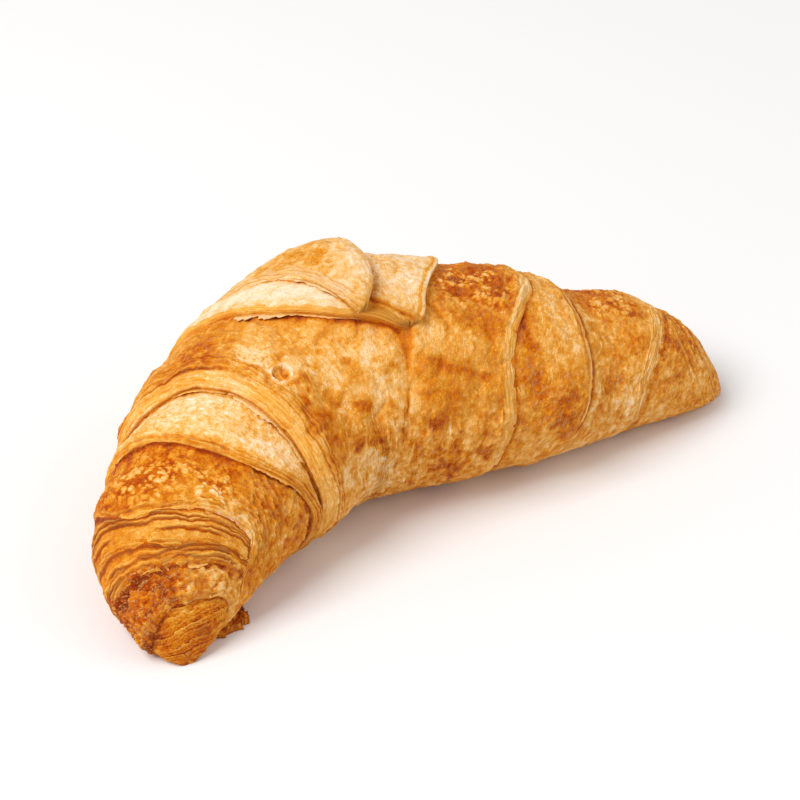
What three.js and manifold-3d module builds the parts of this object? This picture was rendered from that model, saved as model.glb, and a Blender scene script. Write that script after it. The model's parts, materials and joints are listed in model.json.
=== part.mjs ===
// A baked croissant, one solid: a strip of layered dough rolled from its wide end to its point and bent into
// a crescent. Millimetres, +Z up. It rests on the table, z = 0, with the straight line between its horns
// along X, its hollow side to -Y and the origin under the middle of its bounding box.
//
// A place on the roll is a station, in mm along its bent middle line from the left horn's end, and an angle
// round the section, in degrees: 0 on the outer side of the bend, 90 on top, 180 on the hollow side and 270
// underneath.
import * as THREE from "three";
import { mergeVertices } from "three/addons/utils/BufferGeometryUtils.js";
import Module from "manifold-3d";

const wasm = await Module();
wasm.setup();

// The bent middle line
const ROLL_LENGTH = 186;
const HORN_TO_HORN = 164;
const HEADING = [
  // station, degrees from +X
  [0, 75], [14, 54], [28, 31.5], [43, 24], [57, 19], [71, 8.5], [86, -14], [102, -24], [122, -21.5],
  [147, -18], [ROLL_LENGTH, -29.5],
];

// The section: an ellipse that the table flattens underneath
const HALF_HEIGHT = [
  // station, mm
  [0, 6], [8, 11], [16, 16.1], [26, 18.8], [39, 22.1], [53, 24.5], [67, 25.9], [82, 27.4], [92, 27.4],
  [102, 26.7], [118, 24.4], [134, 22.6], [148, 18.3], [163, 15.4], [175, 11.2], [ROLL_LENGTH, 5],
];
const WIDTH_OVER_HEIGHT = 1.1;
const LIFT = 0.88; // height of the middle line over the half height
const LEFT_ROUNDING = 6;
const RIGHT_ROUNDING = 9;

// How far the relief is pressed flat underneath, as a share of its height on top
const PRESSED = 0.35;

// How a turn's ends hide in the dough under it, and the shape of its cut edge
const BURIED = 3;
const TUCK = 2;
const SUNK = 0.9;
const HIDDEN = 1;
const OVERLAP = 4;
const UNDERCUT = 0.4;
const NOSE = 0.35; // height of the foremost line of the edge over its drop

// The turns of dough, outwards from each horn. lip is the line where a turn ends, as angle and station. crest
// is how far its thick edge stands above the roll's mean surface, low how far it has sunk where the next turn
// covers it, drop how tall the cut edge is, and shoulder how far that edge slopes back.
const LEFT_TURNS = [
  { lip: [[-90, 6], [0, 3], [90, 4], [135, 5], [165, 7], [210, 8], [270, 6]],
    crest: 0.3, low: -0.2, drop: 0.8, shoulder: 0.8 },
  { lip: [[-90, 12], [0, 10], [60, 9], [100, 9], [145, 11], [200, 13], [270, 12]],
    crest: 0.3, low: -0.3, drop: 0.7, shoulder: 1 },
  { lip: [[-90, 17], [0, 14.5], [60, 12.5], [95, 11.5], [150, 13.5], [200, 16], [270, 17]],
    crest: 0.2, low: -0.6, drop: 0.7, shoulder: 0.8 },
  { lip: [[-90, 18], [-30, 25], [15, 22], [45, 17.5], [80, 17], [110, 18.5], [140, 19.4], [152, 18.6],
    [162, 14.5], [171, 9.5], [190, 8], [230, 10], [270, 18]],
    crest: 0.9, low: -0.7, drop: 1.7, shoulder: 1.4 },
  { lip: [[-90, 42], [-45, 34], [0, 31.5], [45, 32], [80, 32], [115, 33], [135, 35.5], [160, 40],
    [185, 43], [230, 44], [270, 42]],
    crest: 0.7, low: -1.7, drop: 1.5, shoulder: 1.2 },
];
const RIGHT_TURNS = [
  { lip: [[-90, 152], [-40, 158], [0, 164], [45, 168], [85, 170], [115, 168], [135, 165], [160, 160.5],
    [200, 157], [240, 153], [270, 152]],
    crest: 0.8, low: -0.9, drop: 1.8, shoulder: 4.5 },
  { lip: [[-90, 128], [-40, 135], [0, 140], [45, 142], [90, 144], [130, 143.3], [160, 141.5], [185, 138],
    [210, 131.5], [240, 129], [270, 128]],
    crest: 0.6, low: -1.3, drop: 1.5, shoulder: 1.2 },
];
// The middle turn lies over both arms and has a lip at each end.
const MIDDLE_LEFT = {
  lip: [[-90, 47], [-45, 42], [0, 38.5], [45, 41], [70, 45.5], [100, 47], [130, 46.5], [160, 46], [190, 47.5],
    [230, 49], [270, 47]],
  crest: 1.6, drop: 3.1, shoulder: 4,
};
const MIDDLE_RIGHT = {
  lip: [[-90, 117], [-40, 124], [0, 130], [45, 133], [90, 131.5], [110, 129], [125, 125], [145, 122.5],
    [170, 122], [200, 119], [235, 117], [270, 117]],
  crest: 0.9, drop: 2.2, shoulder: 4,
};
const CREST_REACH = 0.17; // how far the middle turn's raised ends run in, as a share of its length

// Soft folds and dents: station, angle, half lengths along and round the roll in mm, height in mm
const FOLDS = [
  [64, 140, 7, 6, -1.1], [79, 158, 9, 6, -1], [97, 135, 2.6, 8, -1], [84, 139, 9, 7, 0.9],
  [108, 130, 8, 9, 0.7], [95, 160, 3, 6, -0.8], [112, 160, 8, 8, -0.8], [55, 111, 4, 3, -0.7],
  [104, 150, 6, 10, 0.7], [60, 175, 9, 8, -0.9], [120, 60, 5, 10, 0.6], [70, 20, 14, 14, 0.8],
  [100, 0, 10, 16, -0.9], [52, 0, 8, 12, -0.6], [93, 119, 5, 2.6, -1],
];

// The two tongues on top: the roll's last, narrowing turn, and the point of the dough on it. left and right
// are their long edges as angle and station. section is the height above the mean surface as a share of the
// way across and mm. frontRise is added at the front end.
const LAST_TURN = {
  left: [
    [-70, 57], [0, 61], [48, 64], [64, 66.5], [79, 69], [90, 72], [104, 78], [111, 83.5], [115, 91],
    [118.5, 96.5],
  ],
  right: [[-70, 122], [0, 118], [57, 113], [70, 112], [91, 108], [104, 105.5], [113, 104], [118.5, 101]],
  section: [[0, 1.5], [0.08, 2], [0.5, 1.5], [0.85, 1.5], [0.96, 2.4], [1, 2.2]], edge: 0.7, frontRise: 0.5,
};
const POINT = {
  left: [[-70, 62], [0, 66], [50, 71], [60, 75.5], [76, 79], [92, 82], [104, 84], [114, 86]],
  right: [[-70, 104], [0, 98], [49, 94.5], [62, 94], [76, 94.5], [92, 94], [103, 92.5], [114, 88.5]],
  section: [[0, 2.1], [0.3, 3.5], [0.68, 6], [0.9, 6], [1, 4.8]], edge: 0.9, frontRise: -0.5,
};

// A torn leaf of crust that stands out at the table under the left horn: its outline and its height
const LEAF = [
  [-73, 3], [-69, 1.1], [-66.6, 1.8], [-64.4, 2.6], [-63.4, 4.4], [-62, 4.2], [-61.7, 6.2], [-62.4, 7.8],
  [-61, 8.4], [-60.4, 9], [-62.5, 11.5], [-72, 10],
];
const LEAF_HEIGHT = 3.4;
const LEAF_EDGE_HEIGHT = 1.8;

const ARM_COLUMNS = 36;
const MIDDLE_COLUMNS = 44;
const MIDDLE_ROWS = 20;
const TOP_STEP = 4;

// A smooth curve through the pairs of a table, with slopes taken from the neighbours.
function smoothAt(table, x) {
  const last = table.length - 1;
  const slope = (i) => {
    const a = table[Math.max(i - 1, 0)];
    const b = table[Math.min(i + 1, last)];
    return (b[1] - a[1]) / (b[0] - a[0]);
  };
  let i = 0;
  while (i < last - 1 && x > table[i + 1][0]) i += 1;
  const [x0, y0] = table[i];
  const [x1, y1] = table[i + 1];
  const h = x1 - x0;
  const t = THREE.MathUtils.clamp((x - x0) / h, 0, 1);
  const t2 = t * t;
  const t3 = t2 * t;
  return (
    (2 * t3 - 3 * t2 + 1) * y0 + (t3 - 2 * t2 + t) * h * slope(i) +
    (3 * t2 - 2 * t3) * y1 + (t3 - t2) * h * slope(i + 1)
  );
}

// The middle line in half-millimetre steps.
const LINE_STEP = 0.5;
const line = [{ x: -HORN_TO_HORN / 2, y: 0, heading: THREE.MathUtils.degToRad(HEADING[0][1]) }];
for (let s = LINE_STEP; s <= ROLL_LENGTH; s += LINE_STEP) {
  const before = line[line.length - 1];
  const heading = THREE.MathUtils.degToRad(smoothAt(HEADING, s));
  const mean = (before.heading + heading) / 2;
  line.push({ x: before.x + LINE_STEP * Math.cos(mean), y: before.y + LINE_STEP * Math.sin(mean), heading });
}

function lineAt(station) {
  const at = THREE.MathUtils.clamp(station / LINE_STEP, 0, line.length - 1);
  const i = Math.min(Math.floor(at), line.length - 2);
  const t = at - i;
  const mix = (key) => line[i][key] * (1 - t) + line[i + 1][key] * t;
  return { x: mix("x"), y: mix("y"), heading: mix("heading") };
}

function halfHeight(station) {
  const s = THREE.MathUtils.clamp(station, 0, ROLL_LENGTH);
  const toLeft = Math.max(1 - s / LEFT_ROUNDING, 0);
  const toRight = Math.max(1 - (ROLL_LENGTH - s) / RIGHT_ROUNDING, 0);
  return smoothAt(HALF_HEIGHT, s) * Math.sqrt((1 - toLeft ** 2) * (1 - toRight ** 2));
}

// A point of the roll, out mm above its mean surface.
function surfacePoint(station, degrees, out) {
  const { x, y, heading } = lineAt(station);
  const r = halfHeight(station);
  const angle = THREE.MathUtils.degToRad(degrees);
  const across = Math.cos(angle);
  const upward = Math.sin(angle);
  const length = Math.hypot(across, upward * WIDTH_OVER_HEIGHT);
  const side = across * r * WIDTH_OVER_HEIGHT + (out * across) / length;
  const rise = upward * r + (out * upward * WIDTH_OVER_HEIGHT) / length;
  return [x - side * Math.sin(heading), y + side * Math.cos(heading), LIFT * r + rise];
}

// The relief is full on top and at the sides, and pressed underneath.
function relief(degrees) {
  const upward = Math.sin(THREE.MathUtils.degToRad(degrees));
  return PRESSED + (1 - PRESSED) * THREE.MathUtils.smoothstep(upward, -0.9, -0.2);
}

function foldHeight(station, degrees) {
  const round = halfHeight(station) * (1 + WIDTH_OVER_HEIGHT) / 2;
  let height = 0;
  for (const [s, angle, along, around, tall] of FOLDS) {
    let turn = degrees - angle;
    turn -= 360 * Math.round(turn / 360);
    const u = (station - s) / along;
    const v = (THREE.MathUtils.degToRad(turn) * round) / around;
    height += tall * Math.exp(-(u * u + v * v));
  }
  return height;
}

// A closed geometry from a grid of points: rings of equal count, each end closed on one point.
function closedRings(first, rings, last) {
  const count = rings[0].length;
  const positions = [first, ...rings.flat(), last];
  const at = (ring, i) => 1 + ring * count + (i % count);
  const end = positions.length - 1;
  const index = [];
  for (let i = 0; i < count; i += 1) {
    index.push(0, at(0, i + 1), at(0, i));
    for (let ring = 0; ring + 1 < rings.length; ring += 1) {
      index.push(at(ring, i), at(ring, i + 1), at(ring + 1, i));
      index.push(at(ring, i + 1), at(ring + 1, i + 1), at(ring + 1, i));
    }
    index.push(end, at(rings.length - 1, i), at(rings.length - 1, i + 1));
  }
  const geometry = new THREE.BufferGeometry();
  geometry.setAttribute("position", new THREE.Float32BufferAttribute(positions.flat(), 3));
  geometry.setIndex(index);
  return geometry;
}

// rows are functions from the angle to [station, out], in order along the roll.
function turnGeometry(rows, columns) {
  const rings = rows.map((row) => {
    const ring = [];
    for (let i = 0; i < columns; i += 1) {
      const degrees = -90 + (360 * i) / columns;
      const [station, out] = row(degrees);
      ring.push(surfacePoint(station, degrees, out));
    }
    return ring;
  });
  const middle = (row) => {
    const { x, y } = lineAt(row(90)[0]);
    return [x, y, LIFT * halfHeight(row(90)[0])];
  };
  return closedRings(middle(rows[0]), rings, middle(rows[rows.length - 1]));
}

// The rows of a thick edge, from its hidden root up to the crest. way is +1 for a lip that faces left.
function edgeRows({ lip, crest, drop, shoulder }, way) {
  const foot = crest - drop;
  return [
    (a) => [smoothAt(lip, a) + way * TUCK, foot * relief(a) - BURIED],
    (a) => [smoothAt(lip, a) + way * UNDERCUT, foot * relief(a) - SUNK],
    (a) => [smoothAt(lip, a), (foot + NOSE * drop) * relief(a)],
    (a) => [smoothAt(lip, a) + way * shoulder, crest * relief(a)],
  ];
}

// A turn from its own lip to under the lip of the turn that covers it.
function sideTurn(turn, cover, way) {
  const reach = way * (smoothAt(cover.lip, 90) - smoothAt(turn.lip, 90));
  const steps = Math.max(2, Math.round(reach / TOP_STEP));
  const top = [];
  for (let k = 1; k <= steps; k += 1) {
    const t = k / steps;
    const out = turn.crest + (turn.low - turn.crest) * THREE.MathUtils.smoothstep(t, 0, 1);
    top.push((a) => {
      const from = smoothAt(turn.lip, a) + way * turn.shoulder;
      const station = from + (smoothAt(cover.lip, a) + way * HIDDEN - from) * t;
      return [station, out * relief(a) + foldHeight(station, a)];
    });
  }
  top.push((a) => [smoothAt(cover.lip, a) + way * OVERLAP, turn.low - BURIED]);
  const rows = [...edgeRows(turn, way), ...top];
  return turnGeometry(way > 0 ? rows : rows.reverse(), ARM_COLUMNS);
}

function middleTurn() {
  const between = [];
  for (let k = 1; k < MIDDLE_ROWS; k += 1) {
    const t = k / MIDDLE_ROWS;
    const swell =
      MIDDLE_LEFT.crest * Math.exp(-((t / CREST_REACH) ** 2)) +
      MIDDLE_RIGHT.crest * Math.exp(-(((1 - t) / CREST_REACH) ** 2));
    between.push((a) => {
      const from = smoothAt(MIDDLE_LEFT.lip, a) + MIDDLE_LEFT.shoulder;
      const to = smoothAt(MIDDLE_RIGHT.lip, a) - MIDDLE_RIGHT.shoulder;
      const station = from + (to - from) * t;
      return [station, swell * relief(a) + foldHeight(station, a)];
    });
  }
  const rows = [...edgeRows(MIDDLE_LEFT, 1), ...between, ...edgeRows(MIDDLE_RIGHT, -1).reverse()];
  return turnGeometry(rows, MIDDLE_COLUMNS);
}

// A horn's end: the rings of its rounded tip, then its side as far as the next turn hides it.
function hornEnd(stations, way) {
  const hidden = stations[stations.length - 1];
  const rows = stations.map((station) => (a) => [station, foldHeight(station, a)]);
  rows.push(() => [hidden + way * TUCK, -BURIED]);
  return turnGeometry(way > 0 ? rows : rows.reverse(), ARM_COLUMNS);
}

// A tongue of dough that comes over the back and ends in front. Its rings run round the tongue's own section.
function tongue({ left, right, section, edge, frontRise }, steps, across) {
  const from = left[0][0];
  const to = left[left.length - 1][0];
  const rings = [];
  for (let k = 0; k <= steps; k += 1) {
    const t = k / steps;
    const degrees = from + (to - from) * t;
    const a = smoothAt(left, degrees);
    const b = smoothAt(right, degrees);
    const shown = THREE.MathUtils.smoothstep(t, 0, 0.35);
    const front = THREE.MathUtils.smoothstep(t, 0.8, 1);
    const top = [];
    const under = [];
    for (let i = 0; i <= across; i += 1) {
      const u = i / across;
      const station = a + (b - a) * u;
      const out = -BURIED + (smoothAt(section, u) + front * frontRise + BURIED) * shown;
      top.push(surfacePoint(station, degrees, out + foldHeight(station, degrees)));
      const rim = i === 0 ? edge : i === across ? -edge : 0;
      under.push(surfacePoint(station + rim, degrees, -BURIED - 1));
    }
    rings.push([...under, ...top.reverse()]);
  }
  const centre = (ring) => [0, 1, 2].map((axis) => ring.reduce((sum, p) => sum + p[axis], 0) / ring.length);
  return closedRings(centre(rings[0]), rings, centre(rings[steps]));
}

// The leaf: low at its outline and higher where it meets the horn.
function leafGeometry() {
  const centre = LEAF.reduce(([x, y], [a, b]) => [x + a / LEAF.length, y + b / LEAF.length], [0, 0]);
  const ring = (share, z) => LEAF.map(([x, y]) => [
    centre[0] + (x - centre[0]) * share, centre[1] + (y - centre[1]) * share, z,
  ]);
  const rings = [ring(1, -1), ring(1, LEAF_EDGE_HEIGHT), ring(0.6, LEAF_HEIGHT)];
  return closedRings([...centre, -1], rings, [...centre, LEAF_HEIGHT]);
}

function toSolid(geometry) {
  const merged = mergeVertices(geometry, 1e-4);
  const solid = new wasm.Manifold(
    new wasm.Mesh({
      numProp: 3,
      vertProperties: new Float32Array(merged.attributes.position.array),
      triVerts: new Uint32Array(merged.index.array),
    }),
  );
  if (solid.volume() < 0) throw new Error("a piece of dough is inside out");
  return solid;
}

function toGeometry(solid) {
  const mesh = solid.getMesh();
  const geometry = new THREE.BufferGeometry();
  geometry.setAttribute("position", new THREE.BufferAttribute(mesh.vertProperties, 3));
  geometry.setIndex(new THREE.BufferAttribute(mesh.triVerts, 1));
  return geometry;
}

const pieces = [
  hornEnd([0.3, 1.2, 2.6, 4.5, 7, 10], 1),
  ...LEFT_TURNS.map((turn, i) => sideTurn(turn, LEFT_TURNS[i + 1] ?? MIDDLE_LEFT, 1)),
  middleTurn(),
  ...RIGHT_TURNS.map((turn, i) => sideTurn(turn, RIGHT_TURNS[i + 1] ?? MIDDLE_RIGHT, -1)),
  hornEnd([185.7, 184.4, 182.4, 179.6, 176, 172, 167.5, 163, 158.5, 154, 150], -1),
  tongue(LAST_TURN, 18, 12),
  tongue(POINT, 20, 8),
  leafGeometry(),
];

let dough = toSolid(pieces[0]);
for (const piece of pieces.slice(1)) dough = dough.add(toSolid(piece));

// The table flattens everything that would reach below it.
const TABLE_SIZE = 400;
const table = new THREE.BoxGeometry(TABLE_SIZE, TABLE_SIZE, TABLE_SIZE).toNonIndexed();
table.deleteAttribute("normal");
table.deleteAttribute("uv");
table.translate(0, 0, -TABLE_SIZE / 2);
dough = dough.subtract(toSolid(table));

const geometry = toGeometry(dough);
geometry.computeBoundingBox();
const box = geometry.boundingBox;
geometry.translate(-(box.min.x + box.max.x) / 2, -(box.min.y + box.max.y) / 2, 0);
geometry.computeVertexNormals();

const crust = new THREE.MeshStandardMaterial({ color: 0xd89a4e, roughness: 0.6, metalness: 0 });
const croissant = new THREE.Mesh(geometry, crust);
croissant.name = "croissant";

const group = new THREE.Group();
group.add(croissant);
export default group;
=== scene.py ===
"""A baked butter croissant in Blender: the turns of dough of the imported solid, made again with their torn
leaves, blisters, streaks and browning. Lengths are in millimetres until a mesh is written."""
import json
import math

import bpy
import numpy as np
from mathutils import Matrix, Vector

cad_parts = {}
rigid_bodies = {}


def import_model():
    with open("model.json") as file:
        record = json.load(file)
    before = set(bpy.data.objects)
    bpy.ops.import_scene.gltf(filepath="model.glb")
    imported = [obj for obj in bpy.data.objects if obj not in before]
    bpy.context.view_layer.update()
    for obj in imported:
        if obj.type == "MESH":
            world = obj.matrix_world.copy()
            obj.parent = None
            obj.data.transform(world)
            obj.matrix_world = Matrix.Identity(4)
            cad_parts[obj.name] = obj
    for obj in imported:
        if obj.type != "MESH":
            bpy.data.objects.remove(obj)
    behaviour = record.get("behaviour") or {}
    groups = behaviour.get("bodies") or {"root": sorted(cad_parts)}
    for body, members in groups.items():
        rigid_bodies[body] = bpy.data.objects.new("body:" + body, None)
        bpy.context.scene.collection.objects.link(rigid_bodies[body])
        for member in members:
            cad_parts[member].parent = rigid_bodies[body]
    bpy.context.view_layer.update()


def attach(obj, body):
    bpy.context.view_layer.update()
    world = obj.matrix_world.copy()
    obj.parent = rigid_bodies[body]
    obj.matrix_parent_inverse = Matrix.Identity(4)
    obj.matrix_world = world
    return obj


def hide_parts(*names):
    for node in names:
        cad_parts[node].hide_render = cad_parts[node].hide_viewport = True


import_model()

# From the frame of the tables below to the part's own, in mm
SHIFT_X = 3.959
SHIFT_Y = -32.9

# The roll's middle line, by the station along it from the left horn's tip, and its heading in degrees there
ROLL_LENGTH = 186
HORN_TO_HORN = 164
LINE_STEP = 0.5
HEADING = {
    0: 75, 14: 54, 28: 31.5, 43: 24, 57: 19, 71: 8.5, 86: -14, 102: -24, 122: -21.5, 147: -18,
    ROLL_LENGTH: -29.5,
}
HALF_HEIGHT = {
    0: 6, 8: 11, 16: 16.1, 26: 18.8, 39: 22.1, 53: 24.5, 67: 25.9, 82: 27.4, 92: 27.4, 102: 26.7, 118: 24.4,
    134: 22.6, 148: 18.3, 163: 15.4, 175: 11.2, ROLL_LENGTH: 5,
}
WIDTH_OVER_HEIGHT = 1.1
GIRTH = 1.05  # of a ring, over that of a circle of its half height
LIFT = 0.88  # of the middle line over the table, in half heights
LEFT_ROUNDING = 6
RIGHT_ROUNDING = 9
PRESSED = 0.35  # how much of the relief is left at the base
AROUND_RADIUS = 24  # lays streaks and wrinkles round the roll
MIDDLE_HALF_HEIGHT = 27

# Lips, in mm unless said
BURIED = 3  # how deep a piece's hidden parts lie
TUCK = 2  # how far a lip's root runs back under it
SUNK = 0.9
HIDDEN = 1
OVERLAP = 4
UNDERCUT = 0.35  # of the drop
NOSE = 0.35  # how high the overhanging face is, of the drop
WANDER_RADIUS = 22  # of the circle on which a lip's noise is taken
NOWHERE = -999

# Turns of dough: lip as angle and station, then the heights of the part's own source. leaves is how many torn
# leaves show in the cut edge, and ragged how far its lip strays. grain, undercut, stepped, crumpled (an
# angle), dark, the strength of the painted shade at the lip's root, and the strength of the painted shade
# between its leaves are a turn's own, where they differ from the rest.
LEFT_TURNS = [
    dict(name="tip_wrap", lip={-90: 6, 0: 3, 90: 4, 135: 5, 165: 7, 210: 8, 270: 6},
         crest=0.3, low=-0.2, drop=0.8, shoulder=0.8, leaves=3, ragged=0.2, grain=0.24),
    dict(name="first_leaf", lip={-90: 12, 0: 10, 60: 9, 100: 9, 145: 11, 200: 13, 270: 12},
         crest=0.3, low=-0.3, drop=0.7, shoulder=1, leaves=3, ragged=0.25, grain=0.16),
    dict(name="second_leaf", lip={-90: 17, 0: 14.5, 60: 12.5, 95: 11.5, 150: 13.5, 200: 16, 270: 17},
         crest=0.2, low=-0.6, drop=0.7, shoulder=0.8, leaves=2, ragged=0.35, grain=0.16),
    dict(name="brown_wrap", lip={-90: 18, -30: 25, 15: 22, 45: 17.5, 80: 17, 110: 18.5, 140: 19.4,
                                 152: 18.6, 162: 14.5, 171: 9.5, 190: 8, 230: 10, 270: 18},
         crest=0.9, low=-0.7, drop=1.7, shoulder=1.4, leaves=3, ragged=0.3),
    dict(name="pale_wrap", lip={-90: 42, -45: 34, 0: 31.5, 45: 32, 80: 32, 115: 33, 135: 35.5, 160: 40,
                                185: 43, 230: 44, 270: 42},
         crest=0.7, low=-1.7, drop=1.5, shoulder=1.2, leaves=2, ragged=0.25, grain=0.22),
]
RIGHT_TURNS = [
    dict(name="third_right", lip={-90: 152, -40: 158, 0: 164, 45: 168, 85: 170, 115: 168, 135: 165,
                                  160: 160.5, 200: 157, 240: 153, 270: 152},
         crest=0.8, low=-0.9, drop=1.8, shoulder=4.5, leaves=6, ragged=0.35, undercut=0.1, dark=0.6),
    dict(name="second_right", lip={-90: 128, -40: 135, 0: 140, 45: 142, 90: 144, 130: 143.3, 160: 141.5,
                                   185: 138, 210: 131.5, 240: 129, 270: 128},
         crest=0.6, low=-1.3, drop=1.4, shoulder=1.2, leaves=2, ragged=0.2, undercut=0.05, dark=0.3),
]
MIDDLE_LEFT = dict(
    name="middle", lip={-90: 47, -45: 42, 0: 38.5, 45: 41, 70: 45.5, 100: 47, 130: 46.5, 160: 46,
                        190: 47.5, 230: 49, 270: 47},
    crest=1.6, drop=3.1, shoulder=4, leaves=3, ragged=0.35, seam_shade=0.3, stepped=0.3)
MIDDLE_RIGHT = dict(
    name="middle", lip={-90: 117, -40: 124, 0: 130, 45: 133.5, 75: 135, 92: 133.8, 107: 129.8, 125: 125,
                        145: 122.5, 170: 122, 200: 119, 235: 117, 270: 117},
    crest=0.9, drop=2.2, shoulder=4, leaves=6, ragged=0.3, crumpled=94, seam_shade=0.2, stepped=0.25,
    undercut=0.1, dark=0.5)
CREST_REACH = 0.17

# Folds and dents: station, angle, half lengths along and round, height
FOLDS = [
    [64, 140, 7, 6, -1.1], [79, 158, 9, 6, -1], [97, 135, 2.6, 8, -1], [84, 139, 9, 7, 0.9],
    [108, 130, 8, 9, 0.7], [95, 160, 3, 6, -0.8], [112, 160, 8, 8, -0.8], [55, 111, 4, 3, -0.7],
    [104, 150, 6, 10, 0.7], [60, 175, 9, 8, -0.9], [120, 60, 5, 10, 0.6], [70, 20, 14, 14, 0.8],
    [100, 0, 10, 16, -0.9], [52, 0, 8, 12, -0.6], [93, 119, 5, 2.6, -1],
]

# The end of the strip on top: its edges as angle and station, its heights across, and how its front rises
LAST_TURN = dict(
    left={-70: 57, 0: 61, 48: 64, 64: 66.5, 79: 69, 90: 72, 103.2: 78, 109.6: 83.5, 113.6: 91, 118.5: 96.5},
    right={-70: 122, 0: 118, 57: 114.4, 70: 113.4, 91: 108.4, 104: 105.5, 113: 104.2, 118.5: 102.6},
    section={0: 1.5, 0.08: 2, 0.5: 1.5, 0.85: 1.5, 0.96: 2, 1: 2.1}, edge=0.7, front_rise=0.5)
POINT = dict(
    left={-70: 62, 0: 66, 50: 71, 60: 75.5, 76: 79, 92: 82, 103: 84, 111: 85.6},
    right={-70: 104, 0: 98, 49: 94.5, 62: 94, 76: 94.5, 92: 94, 101: 92.5, 111: 88.6},
    section={0: 2.1, 0.3: 3.5, 0.68: 6, 0.9: 6, 1: 4.8}, edge=0.9, front_rise=-0.5)

TONGUE_ROWS = 230
# Its hidden side and rims carry a little painted shade
TONGUE_SIDE = (0.5, 0.6, 0.35, 0.0)  # the fields of its hidden side

# The torn leaf at the table: its outline, and its heights
LEAF = [
    [-73, 4], [-70.2, 2.4], [-67.4, 3], [-65.3, 2.2], [-64.9, 3.4], [-63.2, 2.9], [-62.4, 4.6], [-63.5, 5.8],
    [-62.2, 6.1], [-61.4, 7.9], [-62.5, 11.5], [-72, 10],
]
LEAF_HEIGHT = 3.4
LEAF_EDGE_HEIGHT = 1.8
LEAF_STEPS = 14
LEAF_ROWS = 16

# Torn leaves that show from under the lips: lip, first and last angle, way, reach, lift, root's height, brown
TORN = [
    (MIDDLE_LEFT["lip"], 96, 126, 1, 1.6, 0.5, -1.3, 0.12),
    (MIDDLE_LEFT["lip"], 124, 152, 1, 1.0, 0.4, -1.4, 0.2),
    (MIDDLE_LEFT["lip"], 60, 92, 1, 0.9, 0.4, -1.4, 0.3),
    (LAST_TURN["left"], 66, 95, 1, 2.6, 0.7, 0.4, 0.12),
    (LAST_TURN["left"], 93, 112, 1, 1.4, 0.5, 0.3, 0.2),
    (POINT["left"], 76, 100, 1, 1.3, 0.3, 2.1, 0.08),
    (LEFT_TURNS[3]["lip"], 84, 118, 1, 1.3, 0.5, -0.5, 0.25),
    (LEFT_TURNS[3]["lip"], 112, 146, 1, 1.0, 0.4, -0.6, 0.3),
    (LEFT_TURNS[2]["lip"], 70, 110, 1, 0.8, 0.4, -0.3, 0.2),
    (LEFT_TURNS[2]["lip"], 105, 150, 1, 0.8, 0.4, -0.3, 0.25),
    (LEFT_TURNS[1]["lip"], 75, 125, 1, 0.7, 0.3, -0.2, 0.25),
    (LEFT_TURNS[4]["lip"], 125, 165, 1, 1.0, 0.4, 0.0, 0.35),
    (MIDDLE_RIGHT["lip"], 82, 108, -1, 1.4, 0.7, -1.0, 0.25),
    (MIDDLE_RIGHT["lip"], 150, 176, -1, 1.2, 0.5, -0.9, 0.4),
    (RIGHT_TURNS[1]["lip"], 70, 100, -1, 0.7, 0.3, -0.7, 0.2),
    (RIGHT_TURNS[0]["lip"], 75, 125, -1, 1.1, 0.4, -0.7, 0.3),
]

# The mesh: mm between its points
GRAIN = 0.38
FINE = 0.15  # on a cut edge
NUB_GRAIN = 0.14
FLAKE_STEP = 0.28
FLAKE_COLUMNS = 10
FLAKE_THICK = 0.14  # half the thickness of a loose flake
FLAKE_UNDER = 1.4  # how far it runs back under its lip
NUB_START = 0.3  # from a horn's tip to its first ring
NUB_LEAF = 1.7  # mm from one torn leaf to the next at the left horn's end
NUB_RISE = 1.0
NUB_LAY = np.array([0.02, 0.68, 0.73])

# Sharp creases in the front: station, angle, tilt, half length, half width and depth
CREASES = [[98.4, 126, -0.25, 7.5, 1.1, 1], [95, 156, -0.25, 3.5, 0.6, 0.8]]
LEAF_SLANT = 0.3  # mm round the roll for each mm along it
BURST = (56.3, 110.5)  # station and angle of the burst blister
BLISTER = (60.4, 111)
POPPED = (56.5, 94)
STREAK_STRETCH = 9  # how much longer the lips' streaks are than wide

# The map on which the crust's material is baked, in mm: its side, and where its shelves begin
MAP_NAME = "OFBake"
MAP_SIZE = 330
MAP_MARGIN = 1.0
MAP_INSET = 0.4
CAP_ON_MAP = 0.3
SHELVES = [1.0, 189.0, 288.0]

# What the material reads at each corner, and the block under the table, in metres
FIELDS = ("brown", "edge", "painted_shade", "milk")
BLOCK_MARGIN = 0.005
BLOCK_DEPTH = 0.03
BLOCK_ON_MAP = 0.35  # the hidden base is laid on the map at this scale
BLOCK_FIELDS = (0.66, 0.0, 0.0, 0.3)

# Floor, room and camera, in metres
FLOOR = 3.0
FLOOR_COLOUR = (0.86, 0.86, 0.86, 1)
ROOM_COLOUR = (1, 0.985, 0.97, 1)
ROOM_STRENGTH = 0.56
TARGET = np.array([3.75 + SHIFT_X, 31.89 + SHIFT_Y, 15.0]) / 1000
LOOK = np.array([0.4985, 0.6240, -0.6018])
DISTANCE = 0.65
MM_PER_PIXEL = 0.243
FRAME_PIXELS = 800
SENSOR = 36.0

# Seeded noise over points in mm
LATTICE = 4096
NOISE_SCALE = 1.6  # brings the noise to about -1 to 1
rng = np.random.default_rng(11)
PERMUTED = rng.permutation(LATTICE)
GRADIENTS = rng.normal(size=(LATTICE, 3))
GRADIENTS /= np.linalg.norm(GRADIENTS, axis=1)[:, None]
OFFSETS = rng.uniform(0, 1, (LATTICE, 3))


def hashed(cell, seed):
    a = PERMUTED[(cell[..., 0] + 977 * seed) % LATTICE]
    b = PERMUTED[(a + cell[..., 1]) % LATTICE]
    return PERMUTED[(b + cell[..., 2]) % LATTICE]


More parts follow.
